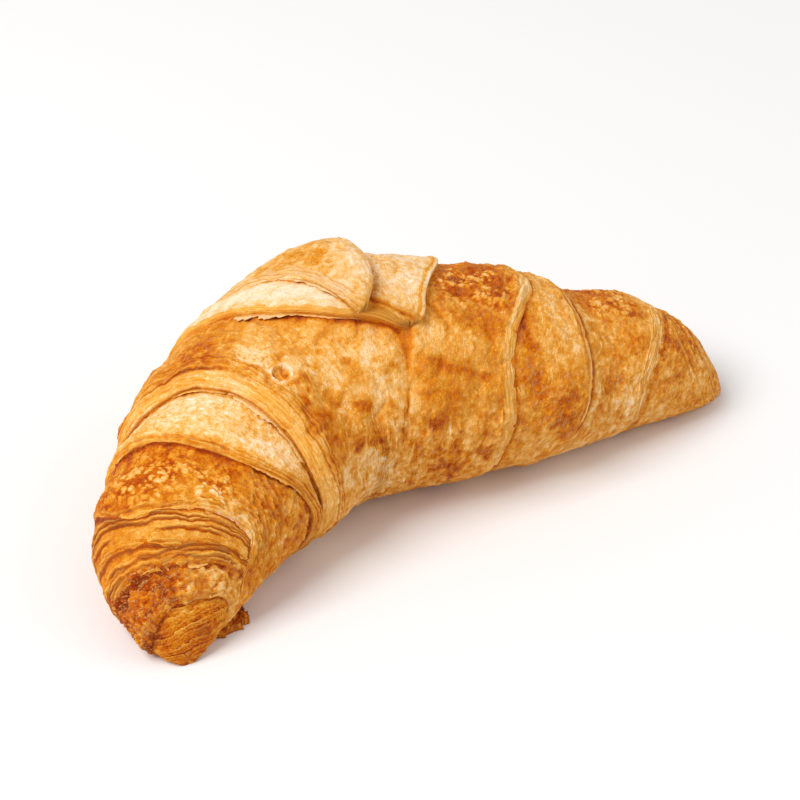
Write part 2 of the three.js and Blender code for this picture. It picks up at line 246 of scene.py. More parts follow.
def noise(p, seed):
    """Gradient noise, about -1 to 1."""
    base = np.floor(p).astype(np.int64)
    f = p - base
    u = f * f * f * (f * (f * 6 - 15) + 10)
    total = np.zeros(p.shape[:-1])
    for corner in np.ndindex(2, 2, 2):
        w = np.where(corner, u, 1 - u)
        d = GRADIENTS[hashed(base + corner, seed)] * (f - corner)
        total += w[..., 0] * w[..., 1] * w[..., 2] * (d[..., 0] + d[..., 1] + d[..., 2])
    return total * NOISE_SCALE


def layered(form, p, size, seed, octaves, fall, stride):
    """The mean of ever finer layers of noise, each weaker than the last by a factor."""
    total = 0
    reach = 0
    for k in range(octaves):
        total = total + fall**k * form(noise(p * (2**k / size), seed + stride * k))
        reach += fall**k
    return total / reach


def clouds(p, size, seed, octaves=3):
    return 1.25 * layered(lambda n: n, p, size, seed, octaves, 0.55, 17)


def ridges(p, size, seed, octaves=2):
    """Thin crests, 0 to 1."""
    return layered(lambda n: (1 - np.abs(n)) ** 3, p, size, seed, octaves, 0.5, 29)


def bubbles(p, size, seed, share):
    """Domes scattered over space: height 0 to 1 of the nearest one, of which only a share exist."""
    q = p / size
    base = np.floor(q).astype(np.int64)
    best = np.zeros(p.shape[:-1])
    for corner in np.ndindex(3, 3, 3):
        near = base + corner - 1
        cell = hashed(near, seed)
        r = 0.3 + 0.5 * OFFSETS[PERMUTED[cell], 0]
        d2 = ((q - (near + OFFSETS[cell])) ** 2).sum(-1) / (r * r)
        here = OFFSETS[PERMUTED[cell], 1] < share
        best = np.maximum(best, np.where(here, np.clip(1 - d2, 0, 1), 0))
    return best


def at(a, b, c):
    """Points of any three coordinates, where a pattern isn't laid over space itself."""
    return np.stack(np.broadcast_arrays(a, b, c), -1)


def warped(p, size, amount, seed):
    """The points moved about by noise, so that a pattern laid over them curls."""
    return p + amount * np.stack([noise(p / size, seed + k) for k in range(3)], -1)


def step(x, low, high):
    t = np.clip((x - low) / (high - low), 0, 1)
    return t * t * (3 - 2 * t)


def bell(x, width):
    return np.exp(-((x / width) ** 2))


def toward(value, target, share):
    return value + (target - value) * share


# The roll's mean surface
def smooth_at(table, x):
    """A smooth curve through the places and values of a table, with slopes taken from the neighbours."""
    xs, ys = np.array(list(table.items()), float).T
    before = np.r_[0, np.arange(len(xs) - 1)]
    after = np.r_[np.arange(1, len(xs)), len(xs) - 1]
    slope = (ys[after] - ys[before]) / (xs[after] - xs[before])
    x = np.asarray(x, float)
    i = np.clip(np.searchsorted(xs, x) - 1, 0, len(xs) - 2)
    h = xs[i + 1] - xs[i]
    q = np.clip((x - xs[i]) / h, 0, 1)
    q2, q3 = q * q, q * q * q
    return ((2 * q3 - 3 * q2 + 1) * ys[i] + (q3 - 2 * q2 + q) * h * slope[i]
            + (3 * q2 - 2 * q3) * ys[i + 1] + (q3 - q2) * h * slope[i + 1])


line_s = np.arange(0, ROLL_LENGTH + LINE_STEP / 2, LINE_STEP)
line_heading = np.radians(smooth_at(HEADING, line_s))
line_mean = (line_heading[1:] + line_heading[:-1]) / 2
line_x = -HORN_TO_HORN / 2 + np.r_[0, np.cumsum(np.cos(line_mean) * LINE_STEP)]
line_y = np.r_[0, np.cumsum(np.sin(line_mean) * LINE_STEP)]


def half_height(s):
    s = np.clip(s, 0, ROLL_LENGTH)
    to_left = np.clip(1 - s / LEFT_ROUNDING, 0, 1)
    to_right = np.clip(1 - (ROLL_LENGTH - s) / RIGHT_ROUNDING, 0, 1)
    return smooth_at(HALF_HEIGHT, s) * np.sqrt((1 - to_left**2) * (1 - to_right**2))


def surface(s, degrees, out):
    """Points out mm above the mean surface, in mm in the row's frame."""
    s, degrees, out = np.broadcast_arrays(np.asarray(s, float), degrees, out)
    x = np.interp(s, line_s, line_x)
    y = np.interp(s, line_s, line_y)
    heading = np.interp(s, line_s, line_heading)
    r = half_height(s)
    a = np.radians(degrees)
    across, upward = np.cos(a), np.sin(a)
    length = np.hypot(across, upward * WIDTH_OVER_HEIGHT)
    side = across * r * WIDTH_OVER_HEIGHT + out * across / length
    rise = upward * r + out * upward * WIDTH_OVER_HEIGHT / length
    x = x - side * np.sin(heading) + SHIFT_X
    y = y + side * np.cos(heading) + SHIFT_Y
    return at(x, y, LIFT * r + rise)


def axis_point(s):
    return surface(s, 90.0, -half_height(s))


def relief(degrees):
    """How much of the relief is left at an angle: the base is pressed nearly flat."""
    return PRESSED + (1 - PRESSED) * step(np.sin(np.radians(degrees)), -0.9, -0.2)


def around_mm(s, degrees, angle):
    turned = degrees - angle
    turned = turned - 360 * np.round(turned / 360)
    return np.radians(turned) * half_height(s) * (1 + WIDTH_OVER_HEIGHT) / 2


def patches(s, degrees, table):
    """The sum of soft patches: station, angle, half lengths along and round in mm, amount."""
    total = np.zeros(np.broadcast(s, degrees).shape)
    for ps, angle, along, around, amount in table:
        total += amount * np.exp(-(((s - ps) / along) ** 2) - (around_mm(s, degrees, angle) / around) ** 2)
    return total


def beside(table, s, degrees):
    """How far a point lies to the left of a tongue's left edge, square to it, in mm."""
    near = smooth_at(table, degrees)
    run = np.radians(4) * half_height(near) * GIRTH
    slope = (smooth_at(table, degrees + 2) - smooth_at(table, degrees - 2)) / run
    return (near - s) / np.sqrt(1 + slope**2)


# The pieces of dough. Each is a closed mesh of rings, with what the crust's material reads at every corner.
scene = bpy.context.scene
dough = bpy.data.collections.new("dough")
scene.collection.children.link(dough)
pen = dict(u=MAP_MARGIN, shelf=0)


def crust_object(name, points, corners, sides, uv, fields):
    """Points in metres, and for each corner of the faces its point, place on the map in mm and fields."""
    mesh = bpy.data.meshes.new(name)
    mesh.vertices.add(len(points))
    mesh.vertices.foreach_set("co", np.asarray(points, np.float32).ravel())
    mesh.loops.add(len(corners))
    mesh.loops.foreach_set("vertex_index", corners.astype(np.int32))
    mesh.polygons.add(len(corners) // sides)
    mesh.polygons.foreach_set("loop_start", np.arange(0, len(corners), sides, dtype=np.int32))
    mesh.update(calc_edges=True)
    mesh.uv_layers.new(name=MAP_NAME).data.foreach_set("uv", (uv / MAP_SIZE).astype(np.float32).ravel())
    for k, field in enumerate(FIELDS):
        attribute = mesh.attributes.new(field, "FLOAT", "CORNER")
        attribute.data.foreach_set("value", fields[:, k].astype(np.float32))
    return bpy.data.objects.new(name, mesh)


def ring_piece(name, rings, fields, ends=None, lying=False):
    """Rings of points in mm, closed by a fan to a point at each end. lying turns it on the map."""
    rows, columns = rings.shape[:2]
    first, last = ends if ends is not None else (rings[0].mean(0), rings[-1].mean(0))
    points = np.vstack([first, rings.reshape(-1, 3), last]) / 1000
    j, i = (a.ravel() for a in np.mgrid[0 : rows - 1, 0:columns])
    corner_j = np.stack([j, j, j + 1, j, j + 1, j + 1], -1).ravel()
    corner_i = np.stack([i, i + 1, i, i + 1, i + 1, i], -1).ravel()
    k = np.arange(columns)
    end = len(points) - 1
    top = 1 + (rows - 1) * columns
    low = np.stack([0 * k, 1 + (k + 1) % columns, 1 + k], -1).ravel()
    high = np.stack([0 * k + end, top + k, top + (k + 1) % columns], -1).ravel()
    vertex = np.r_[1 + corner_j * columns + corner_i % columns, low, high]
    # The map: along the rows by the way travelled, across them by the column
    way = np.r_[0, np.cumsum(np.linalg.norm(np.diff(rings, axis=0), axis=2).mean(1))]
    girth = np.linalg.norm(np.diff(rings, axis=1), axis=2).sum(1).max()
    fans = [np.stack(fan, -1).ravel() for fan in ([k + 0.5, k + 1, k], [k + 0.5, k, k + 1])]
    u = np.r_[way[corner_j], -CAP_ON_MAP * (low == 0), way[-1] + CAP_ON_MAP * (high == end)]
    v = np.r_[corner_i, *fans] / columns * girth
    if lying:
        u, v = v, u
    if pen["u"] + u.max() > MAP_SIZE - MAP_MARGIN:
        pen.update(u=MAP_MARGIN, shelf=pen["shelf"] + 1)
    uv = np.stack([u + pen["u"] + MAP_INSET, v + SHELVES[pen["shelf"]]], -1)
    pen["u"] += u.max() + MAP_MARGIN + MAP_INSET
    rows_of_fields = np.vstack([fields[0].mean(0), fields.reshape(-1, len(FIELDS)), fields[-1].mean(0)])
    piece = crust_object(name, points, vertex, 3, uv, rows_of_fields[vertex])
    dough.objects.link(piece)
    return piece


def fields_of(*values):
    return np.clip(np.stack(np.broadcast_arrays(*values), -1), 0, 1)


def painted(paint, s, degrees, *where):
    """A piece's fields, and the height of its relief."""
    degrees = np.broadcast_to(degrees, s.shape)
    *fields, height = paint(surface(s, degrees, 0.0), s, degrees, *where)
    return fields_of(*fields), height


def wander(angles, seed, size):
    """Noise along a lip, repeating after a full turn."""
    a = np.radians(angles)
    return noise(at(np.cos(a) * WANDER_RADIUS / size, np.sin(a) * WANDER_RADIUS / size, 3.7 * seed), seed)


def ragged_lip(turn, angles, seed, way):
    nick = np.clip(wander(angles, seed + 2, 3.2) - 0.35, 0, 1)
    stray = 0.9 * wander(angles, seed, 7) + 0.45 * wander(angles, seed + 1, 1.6)
    return smooth_at(turn["lip"], angles) + turn["ragged"] * stray + way * nick * turn["ragged"] * 1.6


def edge_rows(turn, way, angles, lip, seed):
    """Stations, heights, leaf and painted shade of a cut edge, from its hidden root to the crest."""
    rel = relief(angles)
    crest, drop, shoulder, count = turn["crest"], turn["drop"], turn["shoulder"], turn["leaves"]
    foot = crest - drop
    nose = foot + NOSE * drop
    undercut = turn.get("undercut", UNDERCUT) * drop
    s = [lip + way * TUCK, lip + way * undercut]
    out = [foot * rel - BURIED, foot * rel - SUNK]
    for share in (0.3, 0.55, 0.8):
        s.append(lip + way * undercut * (1 - share) ** 2)
        out.append((foot * rel - SUNK) + (nose * rel - foot * rel + SUNK) * share)
    leaf = [np.zeros_like(lip)] * len(s)
    # Painted shade at the lip's root, deepest under its overhang
    lip_shade = [np.full_like(lip, c * turn.get("dark", 1)) for c in (1, 1, 0.9, 0.7, 0.3)]
    # Each torn leaf's edge strays over its neighbours' and comes and goes along the lip
    pace = shoulder / count
    crumpled = 1.6 * bell(angles - turn.get("crumpled", NOWHERE), 14)
    stepped = turn.get("stepped", 0.6)
    tears = []
    for k in range(count):
        stray = 0.7 * wander(angles, seed + 5 + k, 13) + 0.13 * wander(angles, seed + 40 + k, 2.6)
        stray = stray + crumpled * wander(angles, seed + 90 + k, 3)
        place = pace * (k + 0.5 + stray + 0.15 * wander(angles, seed + 80 + k, 0.9))
        hold = 0.2 + 0.8 * step(wander(angles, seed + 60 + k, 7), -0.4, 0.2)
        tears.append((np.clip(place, 0.15, shoulder - 0.15), hold))
    whole = sum(hold for tear, hold in tears)
    n = max(4, int(round(shoulder / FINE)))
    for k in range(n + 1):
        q = shoulder * k / n
        level = sum(hold * step(q, tear - 0.1, tear + 0.1) for tear, hold in tears) / whole
        light = np.max([hold * bell(q - tear - 0.17, 0.14) for tear, hold in tears], 0)
        dark = np.max([hold * bell(q - tear + 0.14, 0.13) for tear, hold in tears], 0)
        share = stepped * level + (1 - stepped) * math.sin(math.pi / 2 * q / shoulder)
        s.append(lip + way * q)
        seam = 0.17 * stepped * (light - dark) * step(q, 0.05, 0.2)
        out.append((nose + (crest - nose) * share + seam) * rel)
        leaf.append(light)
        # A line of painted shade just beneath each leaf's end
        lip_shade.append(turn.get("seam_shade", 0.5) * dark * (q > 0.15))
    return [np.stack(x) for x in (s, out, leaf, lip_shade)]


def calm(rows):
    """How much of the relief each row takes: none at the root of a cut edge, and little on its face."""
    share = np.ones((rows, 1))
    share[:2] = 0
    share[2:6] = 0.4
    return share


def skin(p, s, degrees, seed, brown, mottle=0.11, spots=0.0, streak=0.0, wrinkle=0.0, crinkle=1.0, swell=1.0,
         pale=0.3):
    """Mottling, crinkles, pale blisters, streaks round the roll and wrinkles: the browning, with painted
    light on the crests and painted shade in the grooves and hollows, and the height.
    """
    curled = warped(p, 2.6, 0.9, seed + 20)
    wide = clouds(p, 9, seed)
    mid = clouds(curled, 3, seed + 3)
    small = clouds(curled, 1.0, seed + 6, 2)
    valley = ridges(warped(p, 5, 1.5, seed + 24), 8, seed + 15, 1)
    rough = crinkle * (0.4 * (ridges(curled, 2.7, seed + 5) - 0.4) + 0.1 * small)
    # The crinkles' crests are painted paler and the grooves browner: painted light and shade that follow the
    # relief
    brown = brown + mottle * (1.1 * wide + mid) - 0.5 * rough + 0.05 * swell * (valley - 0.4)
    height = swell * (0.34 * wide + 0.2 * mid - 0.5 * (valley - 0.42)) + rough
    if np.any(np.asarray(spots) > 0):
        bent = warped(p, 1.5, 0.25, seed + 28)
        dome = np.maximum(bubbles(bent, 1.5, seed + 7, 0.75), 0.6 * bubbles(bent, 0.95, seed + 8, 0.6))
        dome = dome * step(clouds(p, 6, seed + 9, 1), -0.8, 0.1)
        brown = toward(brown, pale + 0.14 * mid + 0.06 * small, step(dome, 0.05, 0.5) * spots)
        height = height + 0.34 * dome * spots
    around = np.radians(degrees) * AROUND_RADIUS
    if np.any(np.asarray(streak) > 0):
        n = clouds(at(s + mid, around / 5, seed * 1.7), 1.15, seed + 11, 3)
        brown = brown + streak * n
        height = height + 0.2 * n * np.minimum(np.asarray(streak) / 0.12, 1.5)
    if np.any(np.asarray(wrinkle) > 0):
        n = ridges(at(s + 1.5 * mid + 0.15 * around, around / 2.6, seed * 2.3), 1.8, seed + 13) - 0.45
        height = height + 0.55 * wrinkle * n
        # The wrinkles' crests are painted paler and their hollows darker, as light and shade
        brown = brown - 0.24 * wrinkle * n
    return brown, height


def ring_angles(half):
    """The angles of a ring's points, from the base round, where the roll has that half height."""
    columns = int(2 * math.pi * float(half) * GIRTH / GRAIN)
    return -90 + 360 * np.arange(columns) / columns


def wound_piece(name, angles, s, out, fields, way, apex):
    """A piece wound round the roll. Its rows run to the right where way is 1, to the left where it is -1."""
    s, out, fields = (rows[::way] for rows in (s, out, fields))
    ends = [axis_point(s[row, apex]) for row in (0, -1)]
    return ring_piece(name, surface(s, angles, out), fields, ends)


def hidden_row(s, out, fields, end, depth):
    """The rows with one more, buried under the next turn."""
    out = np.vstack([out, np.full_like(end, depth)])
    return np.vstack([s, end]), out, np.concatenate([fields, fields[-1:]])


def side_turn(turn, cover, way, paint, seed):
    """A turn of a horn, from its lip to where the next one covers it. way: 1 on the left, -1 on the right."""
    middle = smooth_at(turn["lip"], 90)
    length = np.abs(smooth_at(cover["lip"], 90) - middle)
    angles = ring_angles(half_height(middle + way * length / 2))
    lip = ragged_lip(turn, angles, seed, way)
    rows = edge_rows(turn, way, angles, lip, seed)
    cover_lip = smooth_at(cover["lip"], angles)
    reach = np.abs(cover_lip - smooth_at(turn["lip"], angles)).max()
    steps = int(math.ceil(reach / turn.get("grain", GRAIN)))
    rel = relief(angles)
    t = (np.arange(1, steps + 1) / steps)[:, None]
    begin = lip + way * turn["shoulder"]
    top_s = begin + (cover_lip + way * HIDDEN - begin) * t
    top_out = (turn["crest"] + (turn["low"] - turn["crest"]) * step(t, 0, 1)) * rel
    none = np.zeros_like(top_s)
    s, out, leaf, lip_shade = (np.vstack(pair) for pair in zip(rows, (top_s, top_out, none, none)))
    shown = np.arange(len(s))[:, None] >= len(rows[0])
    fields, height = painted(paint, s, angles, way * (s - lip), way * (cover_lip - s), leaf, lip_shade, seed)
    out = out + (height * calm(len(s)) + patches(s, angles, FOLDS) * shown) * rel
    rows = hidden_row(s, out, fields, cover_lip + way * OVERLAP, turn["low"] - BURIED)
    return wound_piece(turn["name"], angles, *rows, way, len(angles) // 2)


def middle_turn(paint, seed):
    """The broad middle, with a lip at both its ends."""
    angles = ring_angles(MIDDLE_HALF_HEIGHT)
    left_lip = ragged_lip(MIDDLE_LEFT, angles, seed, 1)
    right_lip = ragged_lip(MIDDLE_RIGHT, angles, seed + 3, -1)
    left_rows = edge_rows(MIDDLE_LEFT, 1, angles, left_lip, seed)
    right_rows = edge_rows(MIDDLE_RIGHT, -1, angles, right_lip, seed + 60)
    begin = left_lip + MIDDLE_LEFT["shoulder"]
    end = right_lip - MIDDLE_RIGHT["shoulder"]
    steps = int((end - begin).max() / GRAIN)
    t = (np.arange(1, steps) / steps)[:, None]
    s = begin + (end - begin) * t
    rel = relief(angles)
    out = MIDDLE_LEFT["crest"] * bell(t, CREST_REACH) + MIDDLE_RIGHT["crest"] * bell(1 - t, CREST_REACH)
    out = out * rel
    shown = np.r_[np.zeros(len(left_rows[0])), np.ones(len(s)), np.zeros(len(right_rows[0]))][:, None]
    none = np.zeros_like(s)
    parts = zip(left_rows, (s, out, none, none), right_rows)
    s, out, leaf, lip_shade = (np.vstack([left, between, right[::-1]]) for left, between, right in parts)
    fields, height = painted(paint, s, angles, s - left_lip, right_lip - s, leaf, lip_shade, seed)
    share = calm(len(s))
    out = out + (height * share * share[::-1] + patches(s, angles, FOLDS) * shown) * rel
    return wound_piece("middle", angles, s, out, fields, 1, len(angles) // 2)


def horn_end(name, first, hidden, way, pace, paint, seed):
    """The rounded end of a horn, from its tip to the lip that hides it."""
    angles = ring_angles(half_height((first + smooth_at(hidden, 90)) / 2))
    last = smooth_at(hidden, angles) + way * HIDDEN
    steps = int(np.abs(last - first).max() / pace)
    t = np.linspace(0, 1, steps + 1)[:, None] ** 1.2
    s = first + (last - first) * t
    fields, height = painted(paint, s, angles, np.abs(s - first), np.abs(last - s), seed)
    out = (height * step(t, 0, 0.1) + patches(s, angles, FOLDS)) * relief(angles)
    return wound_piece(name, angles, *hidden_row(s, out, fields, last + way * TUCK, -BURIED), way, 0)


def tongue(name, form, across, paint, seed):
    """The end of the dough's strip, laid over the turns from behind, with two edges and a ragged front."""
    start, stop = min(form["left"]), max(form["left"])
    t = np.linspace(0, 1, TONGUE_ROWS + 1)[:, None]
    degrees = start + (stop - start) * t
    u = np.linspace(0, 1, across + 1)[None, :]
    left, right = (smooth_at(form[side], degrees) for side in ("left", "right"))
    arc = np.radians(degrees) * half_height((left + right) / 2)
    left_slope, right_slope = (np.gradient(side[:, 0], arc[:, 0])[:, None] for side in (left, right))
    left = left + 0.35 * noise(at(arc / 2.2, 0, seed), seed) * step(t, 0.3, 0.4)
    s = left + (right - left) * u
    bite = 1.3 * noise(at(u * 9, 0, seed), seed + 1)
    degrees = degrees + bite * step(t, 0.86, 1)
    shown = step(t, 0, 0.35)
    out = -BURIED + (smooth_at(form["section"], u) + step(t, 0.8, 1) * form["front_rise"] + BURIED) * shown
    from_left = (s - left) / np.sqrt(1 + left_slope**2)
    from_right = (right - s) / np.sqrt(1 + right_slope**2)
    from_front = np.radians(stop - degrees) * half_height(s)
    fields, height = painted(paint, s, degrees, from_left, from_right, from_front, seed)
    # The edges are rounded by a little
    near = np.minimum(np.minimum(from_left, from_right), from_front)
    out = out + height * step(near, -0.1, 0.5) * shown + patches(s, degrees, FOLDS)
    out = out - 0.35 * (1 - step(near, -0.2, 0.35)) ** 2
    edge = form["edge"]
    under = surface(np.concatenate([left + edge, s[:, 1:-1], right - edge], 1), degrees, -BURIED - 1.0)
    rim_left = surface(left + edge * 0.25, degrees[:, :1], out[:, :1] - 0.9)
    rim_right = surface(right - edge * 0.25, degrees[:, -1:], out[:, -1:] - 0.9)
    rings = np.concatenate([under, rim_right, surface(s, degrees, out)[:, ::-1], rim_left], 1)
    low = np.broadcast_to(TONGUE_SIDE, fields.shape)
    fields = np.concatenate([low, low[:, :1], fields[:, ::-1], low[:, :1]], 1)
    return ring_piece(name, rings, fields, lying=True)


def shred(lip, start, stop, way, reach, lift, root, brown, seed):
    """A thin torn leaf that shows from under a lip, from one angle to another, with a ragged free edge."""
    arc = math.radians(stop - start) * float(half_height(smooth_at(lip, (start + stop) / 2)))
    t = np.linspace(0, 1, max(12, int(arc / FLAKE_STEP)))[:, None]
    degrees = start + (stop - start) * t
    line = at(arc * t, 0, seed)
    torn = 0.75 + 0.45 * noise(line / 3.3, seed) + 0.4 * noise(line / 0.9, seed + 1)
    beyond = 0.1 + reach * (4 * t * (1 - t)) ** 0.5 * np.clip(torn, 0.05, 2)
    u = np.linspace(0, 1, FLAKE_COLUMNS)[None, :]
    travelled = (FLAKE_UNDER + beyond) * u
    s = smooth_at(lip, degrees) + way * (FLAKE_UNDER - travelled)
    shown = np.clip(travelled - FLAKE_UNDER, 0, None) / reach
    curl = 0.5 + 0.5 * noise(line / 4.1, seed + 2)
    wave = 0.2 * noise(at(arc * t, 3 * u, seed) / 1.1, seed + 3)
    out = root - 0.7 * (1 - step(travelled, 0, FLAKE_UNDER)) + lift * curl * shown + wave * shown
    thick = FLAKE_THICK * (1 - 0.5 * u)
    # The part of it under the lip is painted dark, as the shade there
    fields = fields_of(brown + 0.2 * wave, 0.3 + 0.6 * shown, 0.7 * (1 - step(shown, 0, 0.5)), 0.2)
    s, out, thick, fields = (x[:, ::-way] for x in (s, out, thick, fields))
    sheets = [surface(s, degrees, out - thick), surface(s, degrees, out + thick)[:, ::-1]]
    fields = np.concatenate([fields, fields[:, ::-1]], 1)
    return ring_piece("shred", np.concatenate(sheets, 1), fields, lying=True)


# Browning and relief, turn by turn. brown: 0 cream, 1 dark; edge: how much of a torn leaf's yellow shows; the
# third field: painted shade in cracks, under lips and between leaves; milk: the pale, floury skin. The last
# value is the height.
def paint_nub(p, s, degrees, from_tip, to_cover, seed):
    brown, height = skin(p, s, degrees, seed, 0.52, mottle=0.1, crinkle=0.9)
    # Its leaves lie in slanting planes, thick and thin ones
    lay = p @ NUB_LAY + 1.1 * clouds(p, 7, seed + 31, 2) + 0.22 * clouds(p, 0.9, seed + 33, 2)
    light = dark = 0
    for thick, share in ((1.0, 1.0), (0.43, 0.55)):
        x = lay / (NUB_LEAF * thick)
        part = x - np.floor(x)
        own = (np.floor(x).astype(int) * 7) % LATTICE
        hold = share * (0.3 + 0.7 * OFFSETS[own, 1]) * step(clouds(p, 5 * thick, seed + 35, 2), -0.8, 0.2)
        height = height + NUB_RISE * thick * (part - 0.5) * hold
        brown = brown + 0.16 * share * (OFFSETS[own, 0] - 0.5)
        light = np.maximum(light, hold * bell(part - 0.86, 0.15))
        dark = np.maximum(dark, hold * step(0.3 - part, 0, 0.2))
    height = height - 0.9 * step(3.2 - to_cover, 0, 2.4)
    dark_end = patches(s, degrees, [(1.5, 150, 3, 4, 0.2), (3, 30, 4, 4, 0.2)])
    # Painted shade between its leaves and under the lip that covers it
    painted_shade = np.maximum(1.2 * dark, 0.55 * bell(to_cover - 0.9, 0.5))
    return brown + dark_end - 0.15 * light, 0.05 + 1.0 * light, painted_shade, 0.5 * light, height


def leaf_lines(degrees, q, places, seed, tall=0.3, decay=1.6):
    """Thin leaves that end on the turn's own top, at the given distances from its lip, each with a pale line
    at its end and a line of painted shade just beneath it.
    """
    height = light = dark = 0
    for n, place in enumerate(places):
        stray = 0.6 * wander(degrees, seed + 7 * n, 12) + 0.15 * wander(degrees, seed + 7 * n + 3, 2.4)
        here = q - place - stray - 0.05 * wander(degrees, seed + 7 * n + 4, 0.7)
        strength = step(wander(degrees, seed + 7 * n + 5, 14), -0.5, 0.0)
        height = height + tall * strength * step(here, -0.09, 0.09) * np.exp(-np.clip(here, 0, None) / decay)
        light = np.maximum(light, strength * bell(here - 0.2, 0.19))
        dark = np.maximum(dark, strength * bell(here + 0.18, 0.2))
    return height, light, dark


def paint_tip_wrap(p, s, degrees, q, cover, leaf, lip_shade, seed):
    pale = step(degrees, 84, 106)
    base = 0.81 - 0.2 * pale + patches(s, degrees, [(5, 150, 5, 6, 0.1), (3.5, 10, 4, 7, 0.12)])
    brown, height = skin(p, s, degrees, seed, base, mottle=0.14, spots=0.2 + 0.75 * pale,
                         wrinkle=1.2 - 0.7 * pale, crinkle=1.7)
    edge = (0.4 + 0.3 * pale) * leaf + 0.4 * pale * bell(q, 0.25)
    # Painted shade in the lip's cracks and under the covering lip
    painted_shade = 0.9 * lip_shade + 0.8 * bell(cover - 0.2, 0.6)
    height = 1.3 * height + 0.3 * bell(q, 4)
    return brown - 0.1 * leaf, edge, painted_shade, 0.9, height


def paint_first_leaf(p, s, degrees, q, cover, leaf, lip_shade, seed):
    brown, height = skin(p, s, degrees, seed, 0.62, mottle=0.09, streak=0.1, crinkle=0.6)
    h, light, dark = leaf_lines(degrees, q, (1.1, 1.6, 2.2), seed + 70, 0.35)
    edge = np.maximum(leaf, light) * 0.9 + 0.2
    # Painted shade in its cracks, beneath its leaves' ends and under the covering lip
    return brown - 0.1 * light, edge, 1.3 * np.maximum(lip_shade, dark) + 0.9 * bell(cover, 0.45), 0, height + h


def paint_second_leaf(p, s, degrees, q, cover, leaf, lip_shade, seed):
    base = 0.48 + 0.1 * step(60 - degrees, -10, 20)
    brown, height = skin(p, s, degrees, seed, base, mottle=0.07, streak=0.06, crinkle=0.6)
    h, light, dark = leaf_lines(degrees, q, (2.4, 3.2, 3.9, 4.6), seed + 90, 0.5)
    edge = np.maximum(leaf, light) * 1.1 + 0.06
    # Painted shade in its cracks, beneath its leaves' ends and under the covering lip
    painted_shade = 1.3 * np.maximum(lip_shade, dark) + 1.1 * bell(cover, 0.7)
    height = height + h + 0.8 * bell(cover, 3) * step(60 - degrees, -10, 20)
    return brown - 0.12 * light, edge, painted_shade, 0.3, height


def paint_brown_wrap(p, s, degrees, q, cover, leaf, lip_shade, seed):
    inner = step(degrees, 118, 140)
    base = 0.68 - 0.06 * inner + patches(s, degrees, [
        (22, 108, 3, 7, -0.2), (28, 85, 4, 6, 0.07), (25, 60, 5, 9, 0.05), (20, 132, 3, 4, -0.2),
        (30, 40, 4, 7, 0.05)])
    spots = patches(s, degrees, [(23, 105, 4, 9, 0.7), (24, 60, 4, 8, 0.35)])
    spots = np.clip(0.3 * (1 - inner) * step(q, 0.5, 2) + spots, 0, 1)
    brown, height = skin(p, s, degrees, seed, base, mottle=0.13, spots=spots, wrinkle=0.4 + inner, pale=0.16)
    edge = 0.8 * leaf + 0.6 * bell(q - 0.2, 0.4)
    # Painted shade in the lip's cracks and under the covering lip
    painted_shade = 0.9 * lip_shade + 0.7 * bell(cover - 0.2, 0.6)
    return brown - 0.22 * bell(q, 0.9), edge, painted_shade, 0.2 + 0.4 * inner, height


def paint_pale_wrap(p, s, degrees, q, cover, leaf, lip_shade, seed):
    inner = step(degrees, 130, 165)
    outer = step(25 - degrees, 0, 25)
    base = 0.25 + 0.18 * inner + 0.12 * outer + 0.12 * step(q, 5, 12) * step(degrees, 85, 120)
    brown, height = skin(p, s, degrees, seed, base, mottle=0.07, streak=0.05, wrinkle=0.6 * inner,
                         crinkle=0.55)
    brown = brown + (0.16 - 0.08 * inner) * clouds(p, 1.4, seed + 44, 2)
    rim = step(1.2 + 0.3 * wander(degrees, seed + 90, 5) - q, 0, 0.5)
    h, light, dark = leaf_lines(degrees, q, (1.9,), seed + 65, 0.25)
    hold = step(degrees, 85, 125)
    brown = brown + 0.24 * rim + 0.1 * bell(q - 1.6, 1.0)
    edge = 0.55 * rim + 0.2 * leaf + 0.5 * light * hold
    # Painted shade beneath its leaf's end, in the lip's cracks and under the covering lip
    lip_shade = np.maximum(lip_shade, 0.6 * dark * hold)
    height = height + h * hold
    painted_shade = 0.9 * lip_shade + 0.6 * bell(cover - 0.3, 0.7)
    return brown, edge, painted_shade, 0.12 + 0.4 * inner, 0.8 * height


# Browner and paler places of the middle: station, angle, half lengths along and round, amount
MIDDLE_PATCHES = [
    (62, 92, 9, 12, 0.05), (84, 100, 9, 9, 0.06), (53, 60, 7, 9, 0.16), (50, 70, 4, 6, 0.12),
    (60, 66, 6, 6, 0.1), (55, 88, 5, 5, -0.1), (55, 138, 3.4, 4.5, 0.26), (58.5, 141, 3, 3, 0.12),
    (55, 157, 5, 4, 0.2), (57, 167, 5, 3, 0.1), (52, 131, 2.5, 4, 0.16), (64, 163, 5, 4, 0.18),
    (73.5, 133, 2.5, 4, 0.14), (71, 150, 5, 4, 0.14), (76, 168, 7, 4, 0.12), (98, 121, 2.6, 3, 0.2),
    (97, 126, 1.6, 3.5, 0.14), (104, 139, 5, 2.5, 0.12), (102.5, 167, 3.6, 2.4, 0.26),
    (108, 155, 4, 6, 0.1), (101, 152, 3, 3, 0.1), (118, 86, 13, 13, 0.26), (125, 98, 4, 7, 0.2),
    (112, 100, 4, 6, 0.14), (119, 119, 4, 5, 0.08), (121, 165, 5, 9, 0.12), (90, 178, 14, 3, 0.12),
    (110, 140, 9, 3, 0.08), (112, 130, 6, 5, -0.06), (88, 127, 8, 5, -0.12), (105, 120, 4, 5, -0.1),
    (74, 112, 9, 5, 0.08), (86, 118, 7, 3, 0.06), (104, 128, 4, 3, -0.08), (82, 146, 6, 3.5, -0.12),
    (68, 124, 4, 5, -0.08), (71, 143, 4, 3, -0.1), (50, 150, 4, 8, -0.06), (70, 182, 6, 5, -0.08),
    (95, 186, 7, 4, -0.08), (80, 5, 30, 20, 0.1), (85, 215, 40, 16, 0.1),
]


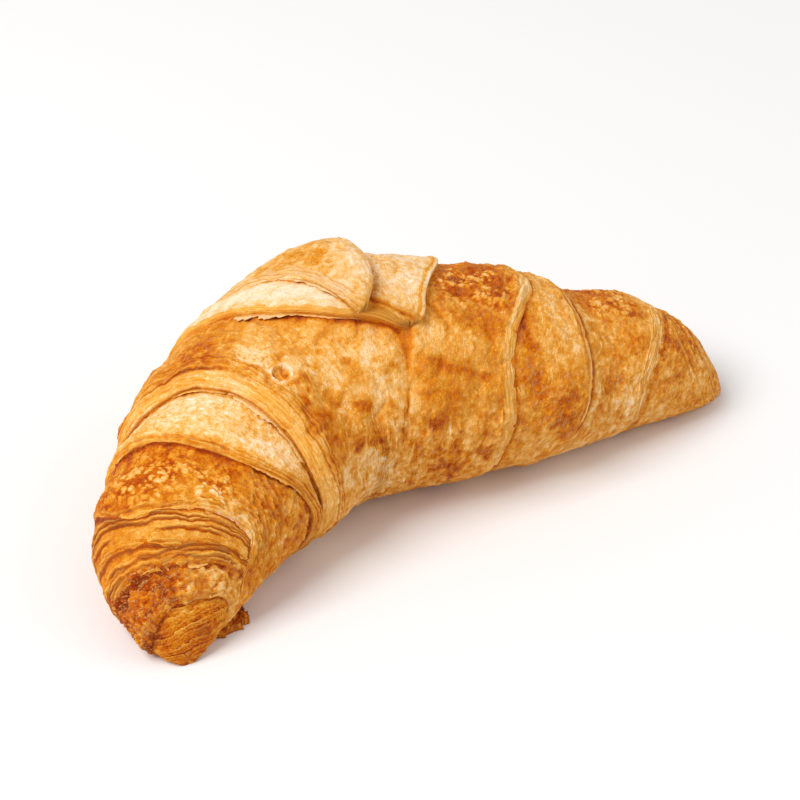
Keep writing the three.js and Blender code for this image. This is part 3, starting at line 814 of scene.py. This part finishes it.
def paint_middle(p, s, degrees, q_left, q_right, leaf, lip_shade, seed):
    base = 0.45 + patches(s, degrees, MIDDLE_PATCHES)
    blistered = patches(s, degrees, [(55, 100, 6, 10, 1.0), (56, 60, 8, 12, 0.5), (118, 88, 12, 13, 1.0)])
    lower = step(degrees, 150, 175)
    streak = 0.05 + 0.06 * step(s, 94, 106) + 0.06 * lower
    burnt = step(clouds(p, 3.4, seed + 61, 2), 0.0, 0.5) * step(degrees, 172, 190) * step(s, 84, 98)
    base = base + 0.26 * burnt + 0.04 * step(s, 95, 105)
    browned = np.clip(blistered + lower, 0, 1)
    mottle = 0.1 + 0.03 * browned + 0.04 * step(96 - s, 0, 10)
    brown, height = skin(p, s, degrees, seed, base, mottle=mottle, spots=np.clip(blistered, 0, 0.9),
                         streak=streak, wrinkle=0.2 + 0.9 * lower * step(s, 50, 60),
                         crinkle=0.5 + 0.5 * browned, swell=1.7 - 0.5 * browned)
    # Veins of deeper orange in the pale skin of the front
    veins = step(clouds(warped(p, 4, 1.6, seed + 64), 4.2, seed + 65, 3), 0.0, 0.45)
    brown = brown + (0.2 * veins - 0.07) * step(degrees, 92, 105) * step(102 - s, 0, 12)
    # Two sharp creases down the front, the upper one a wedge from the corner of the last turn
    crease = above = 0
    from_crease = 99
    for cs, angle, tilt, long, wide, deep in CREASES:
        down = around_mm(s, degrees, angle)
        off = s - cs - tilt * down - 0.25 * clouds(p, 2, seed + 47, 2)
        width = wide * np.clip(1 - down / (2.4 * long), 0.3, 1.4)
        hold = np.exp(-((down / long) ** 4)) * deep
        crease = np.maximum(crease, hold * bell(off / width, 1))
        from_crease = np.minimum(from_crease, np.abs(off - 1.4 * width))
        above = above + hold * step(off, 0.3 * width, width) * np.exp(-np.clip(off, 0, None) / 5)
    # A leaf that ends in a slant across the front, with painted shade beneath its end
    slant = around_mm(s, degrees, 140) - (s - 111) * LEAF_SLANT + 0.7 * clouds(p, 5, seed + 48, 2)
    laid = step(s, 98, 101) * step(119 - s, 0, 3)
    shade_under_leaf = laid * bell(slant - 1.0, 1.3)
    # A burst blister: a ragged hollow with a raised rim, and a smooth blister beside it
    r = np.hypot((s - BURST[0]) / 1.3, around_mm(s, degrees, BURST[1])) + 0.45 * clouds(p, 1.5, seed + 51, 2)
    burst = step(1.85 - r, 0, 0.45)
    rim = bell(r - 2.05, 0.35)
    disc = step(-np.hypot(s - BLISTER[0], around_mm(s, degrees, BLISTER[1]) / 1.3), -2.2, -1.5) * (1 - burst)
    height = height * (1 - 0.8 * disc) - 1.1 * burst + 0.35 * rim + 0.5 * disc - 0.7 * crease + 0.9 * above
    height = height + 0.5 * laid * step(-slant, -0.5, 0.5) * step(slant + 9, 0, 8) - 0.1 * shade_under_leaf
    brown = toward(brown, 0.32, disc) + 0.16 * burst - 0.2 * rim + 0.12 * shade_under_leaf
    brown = toward(brown, 0.66, 0.9 * crease) - 0.14 * above * bell(from_crease, 1.8)
    # A popped patch, pale with dark specks
    from_popped = np.hypot((s - POPPED[0]) / 3.2, around_mm(s, degrees, POPPED[1]) / 5.5)
    popped = step(1 - from_popped + 0.2 * clouds(p, 2.5, seed + 53, 2), 0, 0.25)
    specks = step(clouds(p, 0.9, seed + 54, 1), 0.25, 0.6)
    brown = brown + popped * (0.24 + 0.05 * clouds(p, 1.4, seed + 55) - brown + 0.3 * specks)
    height = height + popped * (-0.25 - 0.15 * specks)
    # The shade under the rim of the last turn
    from_rim = beside(LAST_TURN["left"], s, degrees)
    shade = step(degrees, 60, 75) * step(122 - degrees, 0, 3) * (from_rim > -1)
    brown = brown + 0.1 * shade * bell(from_rim, 2.2)
    shaded = 0.8 * shade * bell(from_rim - 0.3, 0.8)
    # Leaves that end a little way in from the left lip
    left_zone = step(9 - q_left, 0, 4)
    h, light, dark = leaf_lines(degrees, q_left, (3.6, 5.2, 6.3), seed + 80, 0.25)
    height = height + h * left_zone
    band_left = step(3.2 + 0.5 * wander(degrees, seed + 95, 8) - q_left, 0, 0.7)
    band_right = step(3.6 + 0.8 * wander(degrees, seed + 96, 6) - q_right, 0, 1)
    facing = step(degrees, 58, 86)  # the lip is paler towards the camera
    filled = band_left * (0.35 + 0.4 * facing)
    brown = brown * (1 - filled - 0.65 * band_right)
    brown = brown + (0.27 + 0.1 * step(degrees, 95, 115)) * filled + 0.18 * band_right
    height = height * (1 - 0.6 * band_left)
    turned = around_mm(s, degrees, 90) / STREAK_STRETCH
    streaks = clouds(at(q_left, turned, 0), 1.3, seed + 97, 2)
    behind = step(92 - degrees, 0, 20) * step(degrees, 20, 50)
    reddish = step(streaks, -0.15, 0.3) * bell(q_left - 3.8, 3) * behind
    brown = brown + 0.18 * reddish + 0.06 * bell(q_left - 1.9, 0.5) * step(streaks, -0.2, 0.4)
    brown = brown + (0.35 - 0.15 * facing) * band_left * clouds(at(q_left, turned, 3), 0.6, seed + 98, 2)
    brown = brown + 0.2 * band_right * clouds(at(q_right, turned, 5), 0.6, seed + 99, 2)
    # Folds where its right edge is crumpled: paler all over, with painted light on their crests and painted
    # shade in their valleys
    folded = step(10 - q_right, 0, 4) * bell(degrees - MIDDLE_RIGHT["crumpled"], 16)
    across_folds = s + 5 * turned + 0.6 * clouds(p, 3, seed + 98, 1)
    folds = ridges(at(across_folds, turned, 0), 2.6, seed + 99, 1) - 0.5
    height = height + 1.7 * folded * folds
    brown = brown - folded * (0.1 + 0.3 * folds)
    edge = 0.5 * leaf + 0.6 * light * left_zone + (0.3 + 0.25 * step(degrees, 95, 115)) * band_left
    edge = edge + 0.4 * band_right + 0.2 * crease + 0.25 * laid * bell(slant + 0.3, 0.5)
    edge = edge + 0.9 * bell(q_right - 0.4, 0.35) * step(105 - degrees, -60, -10)
    # Painted shade under the rim of the last turn, in the lip's cracks, beneath the leaves' ends and in the
    # pits of the burst blister
    pits = burst * step(clouds(p, 1.2, seed + 52, 1), 0, 0.3)
    painted_shade = shaded + 0.9 * lip_shade + 0.6 * dark * left_zone + 0.4 * pits
    milk = 0.4 + 0.2 * np.clip(blistered, 0, 1) + 0.35 * lower
    return brown, edge, painted_shade, milk, height


def paint_third_right(p, s, degrees, q, cover, leaf, lip_shade, seed):
    top = step(118 - degrees, 0, 22)
    band = step(5 + 0.8 * wander(degrees, seed + 95, 6) - q, 0, 1)
    base = 0.47 + 0.22 * top * step(q, 5, 8)
    base = base + patches(s, degrees, [(150, 150, 6, 5, 0.08), (156, 120, 4, 5, 0.06)])
    brown, height = skin(p, s, degrees, seed, base, mottle=0.17, spots=0.75 * top * step(q, 4, 7),
                         streak=0.12, wrinkle=0.4 + 0.8 * step(degrees, 140, 165))
    streaks = clouds(at(q, around_mm(s, degrees, 90) / STREAK_STRETCH, 3), 0.7, seed + 98, 2)
    brown = toward(brown, 0.26, 0.7 * band) + 0.22 * band * streaks
    height = height + 0.5 * bell(cover, 4)
    edge = 0.5 * leaf + 0.4 * band
    # Painted shade in the lip's cracks and under the covering lip
    painted_shade = 0.9 * lip_shade + 0.65 * bell(cover - 0.2, 0.6)
    return brown, edge, painted_shade, 0.6 + 0.3 * step(degrees, 130, 165), height


def paint_second_right(p, s, degrees, q, cover, leaf, lip_shade, seed):
    base = 0.53 + patches(s, degrees, [
        (128, 130, 2.5, 14, 0.16), (127, 155, 3, 8, 0.12), (133, 168, 6, 6, 0.12), (131, 140, 2, 10, -0.05),
        (137, 105, 5, 12, -0.16), (140, 125, 3, 7, -0.1), (127, 110, 2, 5, 0.14), (134, 185, 5, 6, 0.08)])
    brown, height = skin(p, s, degrees, seed, base, mottle=0.11, streak=0.12, crinkle=0.8,
                         wrinkle=0.5 + 0.7 * step(degrees, 150, 170))
    rim = step(1.3 + 0.3 * wander(degrees, seed + 95, 5) - q, 0, 0.6)
    h, light, dark = leaf_lines(degrees, q, (1.6, 2.3), seed + 60, 0.25)
    brown = toward(brown, 0.16, 0.8 * rim) + 0.12 * bell(q - 1.7, 0.4)
    edge = 0.45 * rim + 0.75 * light + 0.3 * leaf
    # Painted shade in the lip's cracks, beneath its leaves' ends and under the covering lip
    painted_shade = 0.9 * lip_shade + 0.25 * dark + 0.45 * bell(cover - 0.2, 0.6)
    height = height + 0.7 * bell(cover, 4)
    return brown, edge, painted_shade, 0.55 + 0.3 * step(degrees, 130, 165), height + h


def paint_right_end(p, s, degrees, from_tip, to_cover, seed):
    base = 0.58 + patches(s, degrees, [(172, 110, 6, 6, 0.1), (168, 150, 6, 4, 0.08)])
    brown, height = skin(p, s, degrees, seed, base, mottle=0.19, spots=0.4, streak=0.12, wrinkle=0.7)
    slant = from_tip - 3.2 - 4.5 * np.cos(np.radians(degrees - 60))
    h, light, dark = leaf_lines(degrees, slant, (1.5, 3, 5.5, 8.0), seed + 60, 0.4, 2.5)
    # Painted shade beneath its leaves' ends and under the covering lip
    return brown - 0.15 * light, 0.9 * light, 0.4 * dark + 0.4 * bell(to_cover - 0.9, 0.6), 0.8, height + h


def paint_last_turn(p, s, degrees, left, right, front, seed):
    band_b = step(88 - s, 0, 6)
    base = 0.22 - 0.12 * band_b
    brown, height = skin(p, s, degrees, seed, base, mottle=0.12 - 0.05 * band_b, streak=0.04, crinkle=0.7)
    torn = clouds(p, 2.4, seed + 41, 2)
    rim_left = step(1.5 + 0.5 * torn - left, 0, 0.7)
    rim_front = step(1.0 + 0.8 * torn - front, 0, 0.7)
    line_right = bell(right - 1.3 - 0.25 * torn, 0.4)
    brown = brown + 0.3 * rim_left + 0.26 * rim_front + 0.3 * line_right - 0.06 * step(1.1 - right, 0, 0.3)
    brown = brown + 0.1 * bell(left - 2.2, 1.4)
    # A fold runs from beside the point to the front corner
    across = front - 1.5 - (101 - s) * 0.62 - 0.5 * torn
    fold = bell(across, 0.6) * step(s, 90, 92) * step(103 - s, 0, 2)
    dimple = bell(s - 92, 4) * bell(front - 13, 5)
    speckled = (1 - band_b) * step(clouds(p, 1.5, seed + 43, 2), 0.1, 0.5)
    brown = brown + 0.12 * speckled
    height = 0.9 * height + 0.8 * fold - 0.9 * dimple
    # A painted shade line along the fold's low side, and the dimple a little browner
    brown = brown + 0.3 * bell(across + 0.7, 0.6) * step(s, 89, 91) + 0.1 * dimple
    # Painted shade in the hollow beside the point's tip
    shade_beside_point = bell(s - 91.5, 2.5) * step(front, 2, 5)
    brown = brown + 0.14 * shade_beside_point
    edge = 0.85 * np.maximum(rim_left, np.maximum(rim_front, line_right)) + 0.25 * fold
    from_point = beside(POINT["left"], s, degrees)
    shade = step(degrees, 52, 62) * step(116 - degrees, 0, 3) * (from_point > -1)
    painted_shade = 0.1 * shade_beside_point + 0.75 * shade * bell(from_point - 0.15, 0.4)
    brown = brown + 0.12 * shade * bell(from_point, 1.6)
    return brown, edge, painted_shade, 0.35, height


def paint_point(p, s, degrees, left, right, front, seed):
    base = 0.24 + patches(s, degrees, [
        (84, 62, 6, 6, 0.14), (88, 82, 3, 6, 0.1), (82, 85, 4, 6, 0.08), (80, 50, 6, 8, 0.14),
        (86, 104, 4, 6, -0.08)])
    brown, height = skin(p, s, degrees, seed, base, mottle=0.15, streak=0.05)
    h = light = dark = 0
    for n, place in enumerate((0.8, 1.5, 2.6, 3.4)):
        line = at(degrees, 0, n)
        here = left - place - 0.6 * noise(line / 14, seed + n) - 0.1 * noise(line / 2, seed + n + 9)
        hold = step(noise(line / 14, seed + n + 20), -0.4, 0.1)
        h = h + 0.3 * hold * step(here, -0.1, 0.1)
        light = np.maximum(light, hold * bell(here - 0.17, 0.15))
        dark = np.maximum(dark, hold * bell(here + 0.15, 0.15))
    band = step(3.9 + 0.7 * clouds(p, 3, seed + 45, 1) - left, 0, 1.0)
    height = height + h - 1.2 * step(left, 0, 4)
    tip = step(6 - front, 0, 5)
    crumbs = tip * clouds(p, 1.1, seed + 46, 2)
    height = height + 0.5 * crumbs
    brown = toward(toward(brown, 0.14, 0.65 * band), 0.36, 0.5 * tip) - 0.2 * crumbs
    edge = 0.4 * light * band + 0.2 * band + 0.55 * tip + 0.6 * bell(right, 0.8)
    # Painted shade beneath the ends of its leaves along the left edge
    return brown, edge, 0.5 * dark * band, 0.15, height


# The pieces. The order in which they are made sets their places on the map.
left = [*LEFT_TURNS, MIDDLE_LEFT]
left_paints = (paint_tip_wrap, paint_first_leaf, paint_second_leaf, paint_brown_wrap, paint_pale_wrap)
for n, paint in enumerate(left_paints):
    side_turn(left[n], left[n + 1], 1, paint, 101 * (n + 1))
croissant = middle_turn(paint_middle, 606)
side_turn(RIGHT_TURNS[1], MIDDLE_RIGHT, -1, paint_second_right, 808)
side_turn(RIGHT_TURNS[0], RIGHT_TURNS[1], -1, paint_third_right, 707)
horn_end("nub", NUB_START, LEFT_TURNS[0]["lip"], 1, NUB_GRAIN, paint_nub, 909)
horn_end("right_end", ROLL_LENGTH - NUB_START, RIGHT_TURNS[0]["lip"], -1, 0.8 * GRAIN, paint_right_end, 1010)
tongue("last_turn", LAST_TURN, 130, paint_last_turn, 111)
tongue("point", POINT, 64, paint_point, 212)


def table_leaf():
    """The torn leaf of crust at the table: rings that rise round its outline and close over its top."""
    outline = np.array(LEAF)
    k = np.arange(LEAF_STEPS)[:, None]
    around = np.vstack([a + (b - a) * k / LEAF_STEPS for a, b in zip(outline, np.roll(outline, -1, 0))])
    centre = outline.mean(0)
    rise = LEAF_HEIGHT - LEAF_EDGE_HEIGHT
    side_rows = [(1.0, -1.0), (1.03, 0.5), (1.0, LEAF_EDGE_HEIGHT * 0.8), (0.97, LEAF_EDGE_HEIGHT)]
    inward = np.arange(1, LEAF_ROWS + 1) / LEAF_ROWS
    top_rows = [(1 - 0.8 * q, LEAF_EDGE_HEIGHT + rise * math.sin(math.pi / 2 * q)) for q in inward]
    flat = [centre + (around - centre) * share + (SHIFT_X, SHIFT_Y) for share, z in side_rows + top_rows]
    rings = np.array([at(xy[:, 0], xy[:, 1], z) for xy, (share, z) in zip(flat, side_rows + top_rows)])
    n = clouds(rings, 2.0, 61)
    rings = rings + at(0.7 * clouds(rings, 1.1, 62), 0.7 * clouds(rings, 1.1, 63), 0.8 * n)
    # Its back is painted darker, as the shade that falls on it, and thin lines of painted shade run over it
    behind = step(rings[..., 1] - SHIFT_Y, 4, 6)
    side = (np.arange(len(rings)) < len(side_rows))[:, None]
    brown = 0.68 + 0.28 * behind + 0.35 * n - 0.1 * side
    return ring_piece("table_leaf", rings, fields_of(brown, 0.3 * side, 0.5 * bell(n, 0.2), 0.3))


table_leaf()
for n, torn_leaf in enumerate(TORN):
    shred(*torn_leaf, seed=1200 + 11 * n)


# One union joins the turns, then a block under the table takes off what would reach below it
def baked_mesh(piece, operation, **operand):
    """The piece's mesh after a Boolean, with its modifier removed again."""
    boolean = piece.modifiers.new("boolean", "BOOLEAN")
    boolean.operation = operation
    boolean.solver = "MANIFOLD"
    for key, value in operand.items():
        setattr(boolean, key, value)
    bpy.context.view_layer.update()
    mesh = bpy.data.meshes.new_from_object(piece.evaluated_get(bpy.context.evaluated_depsgraph_get()))
    piece.modifiers.clear()
    old = piece.data
    piece.data = mesh
    bpy.data.meshes.remove(old)
    return mesh


def drop(piece):
    mesh = piece.data
    bpy.data.objects.remove(piece)
    bpy.data.meshes.remove(mesh)


def table_block():
    """The block, with a place of its own on the map for the base that it cuts."""
    co = np.zeros(len(croissant.data.vertices) * 3, np.float32)
    croissant.data.vertices.foreach_get("co", co)
    spread = co.reshape(-1, 3)[:, :2]
    low, high = spread.min(0) - BLOCK_MARGIN, spread.max(0) + BLOCK_MARGIN
    sides = [(low[0], low[1]), (high[0], low[1]), (high[0], high[1]), (low[0], high[1])]
    points = np.array([(x, y, z) for z in (-BLOCK_DEPTH, 0.0) for x, y in sides], float)
    faces = [(3, 2, 1, 0), (4, 5, 6, 7)] + [(k, (k + 1) % 4, (k + 1) % 4 + 4, k + 4) for k in range(4)]
    corners = np.ravel(faces)
    uv = (points[corners, :2] - low) * 1000 * BLOCK_ON_MAP + (pen["u"] + MAP_MARGIN, SHELVES[-1])
    return crust_object("block", points, corners, 4, uv, np.tile(BLOCK_FIELDS, (len(corners), 1)))


in_scene = scene.collection.objects
in_scene.link(croissant)
dough.objects.unlink(croissant)
baked_mesh(croissant, "UNION", operand_type="COLLECTION", collection=dough)
for piece in list(dough.objects):
    drop(piece)
bpy.data.collections.remove(dough)
block = table_block()
in_scene.link(block)
joined = baked_mesh(croissant, "DIFFERENCE", operand_type="OBJECT", object=block)
drop(block)
joined.polygons.foreach_set("use_smooth", np.ones(len(joined.polygons), bool))
joined.update()
croissant.name = "baked_croissant"
joined.name = "baked_croissant"

# The crust's material
crust = bpy.data.materials.new("crust")
crust.use_nodes = True
nodes, links = crust.node_tree.nodes, crust.node_tree.links
shader = nodes["Principled BSDF"]


def linear(red, green, blue):
    """A colour as seen, 0 to 255, as Blender's linear values."""
    shares = [c / 255 for c in (red, green, blue)]
    return (*(c / 12.92 if c <= 0.04045 else ((c + 0.055) / 1.055) ** 2.4 for c in shares), 1.0)


def fill(sockets, values):
    """Sets each socket, or links it where its value comes from another node."""
    for name, value in values.items():
        if isinstance(value, bpy.types.NodeSocket):
            links.new(value, sockets[name])
        else:
            sockets[name].default_value = value


def new_node(kind, values, **settings):
    node = nodes.new("ShaderNode" + kind)
    for name, value in settings.items():
        setattr(node, name, value)
    fill(node.inputs, values)
    return node


def attribute(name):
    return new_node("Attribute", {}, attribute_name=name).outputs["Fac"]


def math_node(operation, a, b, clamp=False):
    return new_node("Math", {0: a, 1: b}, operation=operation, use_clamp=clamp).outputs[0]


def times(a, b):
    return math_node("MULTIPLY", a, b)


def plus(a, b, clamp=False):
    return math_node("ADD", a, b, clamp)


def swing(value, amount):
    """A noise's departure from its mean, times an amount."""
    return times(math_node("SUBTRACT", value, 0.5), amount)


def mix_colour(factor, a, b):
    return new_node("Mix", {0: factor, 6: a, 7: b}, data_type="RGBA").outputs[2]


def colour_ramp(value, *stops):
    """Colours over a value, from the place and the colour as seen of each stop."""
    node = new_node("ValToRGB", {"Fac": value})
    elements = node.color_ramp.elements
    for element, (place, colour) in zip(elements, (stops[0], stops[-1])):
        element.position = place
        element.color = linear(*colour)
    for place, colour in stops[1:-1]:
        elements.new(place).color = linear(*colour)
    return node.outputs["Color"]


def cloud_node(scale, detail):
    values = {"Scale": scale, "Detail": detail, "Roughness": 0.6, "Vector": coordinates.outputs["Object"]}
    return new_node("TexNoise", values).outputs["Fac"]


def laid_node(along, around, detail, distortion):
    """Noise in strips over the map, whose first axis runs along the roll: sizes in mm along and round it."""
    scale = (MAP_SIZE / along, MAP_SIZE / around, 1)
    spread = new_node("Mapping", {"Scale": scale, "Vector": unrolled.outputs["UV"]}).outputs["Vector"]
    values = {"Scale": 1, "Detail": detail, "Distortion": distortion, "Vector": spread}
    return new_node("TexNoise", values).outputs["Fac"]


coordinates = new_node("TexCoord", {})
unrolled = new_node("UVMap", {}, uv_map=MAP_NAME)
grain = cloud_node(850, 3)  # specks a little over a millimetre
fine = cloud_node(2600, 2)
fibre = laid_node(0.6, 2.6, 3, 1.6)
leaves = laid_node(0.34, 7.0, 2, 0.35)
edge, painted_shade, milk = attribute("edge"), attribute("painted_shade"), attribute("milk")

level = plus(plus(attribute("brown"), swing(grain, 0.36)), swing(fine, 0.46))
amount = plus(times(milk, 0.5), 0.4)  # smooth skin has fewer fibres
level = plus(level, times(swing(fibre, 1), amount))
# Painted shade darkens the browning
level = plus(level, times(painted_shade, 0.4), clamp=True)
baked = colour_ramp(
    level, (0, (252, 231, 206)), (0.14, (249, 213, 168)), (0.28, (242, 190, 117)), (0.42, (230, 158, 57)),
    (0.55, (214, 130, 18)), (0.68, (198, 100, 4)), (0.8, (175, 70, 6)), (0.9, (147, 50, 8)),
    (1, (112, 36, 8)))
sheets = colour_ramp(leaves, (0.36, (228, 132, 12)), (0.6, (252, 202, 100)))
# Pale flour lies over the crust in fibres, the darker the crust the browner
flour = colour_ramp(level, (0.1, (251, 221, 178)), (0.45, (240, 190, 120)), (0.85, (214, 154, 86)))
floury = math_node("MULTIPLY", plus(swing(fibre, 6), swing(fine, 3)), milk, clamp=True)
milky = mix_colour(times(floury, 0.85), baked, flour)
torn = mix_colour(times(edge, 0.7), milky, sheets)
# Painted shade turns the colour towards a deep orange-brown
with_painted_shade = mix_colour(times(painted_shade, 0.5), torn, linear(150, 60, 0))

height = math_node("SUBTRACT", plus(grain, times(fine, 0.5)), times(fibre, 0.7))
height = plus(height, times(times(leaves, edge), 0.9))
bump = new_node("Bump", {"Strength": 0.7, "Distance": 0.00045, "Height": height})
gloss = new_node(
    "MapRange", {"Value": level, "From Min": 0.1, "From Max": 0.9, "To Min": 0.75, "To Max": 0.5})
fill(shader.inputs, {
    "Base Color": with_painted_shade, "Roughness": gloss.outputs["Result"], "Specular IOR Level": 0.04,
    "Normal": bump.outputs["Normal"]})
croissant.data.materials.clear()
croissant.data.materials.append(crust)

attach(croissant, "root")
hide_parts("croissant")

# Floor
floor_mesh = bpy.data.meshes.new("floor")
floor_corners = [(-FLOOR, -FLOOR, 0), (FLOOR, -FLOOR, 0), (FLOOR, FLOOR, 0), (-FLOOR, FLOOR, 0)]
floor_mesh.from_pydata(floor_corners, [], [(0, 1, 2, 3)])
floor = bpy.data.objects.new("floor", floor_mesh)
in_scene.link(floor)
pale = bpy.data.materials.new("pale_floor")
pale.use_nodes = True
fill(pale.node_tree.nodes["Principled BSDF"].inputs, {"Base Color": FLOOR_COLOUR, "Roughness": 0.9})
floor_mesh.materials.append(pale)

# Light: a wide soft box from the upper left, a weaker one from the right, and a bright room
world = bpy.data.worlds.new("room")
scene.world = world
world.use_nodes = True
fill(world.node_tree.nodes["Background"].inputs, {"Color": ROOM_COLOUR, "Strength": ROOM_STRENGTH})


def aimed(thing, place, aim):
    """Puts a lamp or a camera in the scene, turned to a point."""
    thing.location = place
    thing.rotation_euler = (Vector(aim) - thing.location).to_track_quat("-Z", "Y").to_euler()
    in_scene.link(thing)


def soft_box(name, place, size, power):
    data = bpy.data.lights.new(name, "AREA")
    data.shape = "SQUARE"
    data.size = size
    data.energy = power
    aimed(bpy.data.objects.new(name, data), place, (0, 0, 0.02))


soft_box("key", (-0.75, 0.1, 1.05), 0.7, 12.8)
soft_box("fill", (0.9, -0.8, 0.8), 1.2, 4)

# Camera at the photograph's angle
camera_data = bpy.data.cameras.new("camera")
camera_data.sensor_width = SENSOR
camera_data.lens = SENSOR * DISTANCE * 1000 / MM_PER_PIXEL / FRAME_PIXELS
camera_data.clip_start = 0.05
camera = bpy.data.objects.new("camera", camera_data)
aimed(camera, TARGET - LOOK * DISTANCE, TARGET)
scene.camera = camera
scene.view_settings.view_transform = "Standard"
scene.view_settings.look = "None"
bpy.context.view_layer.update()
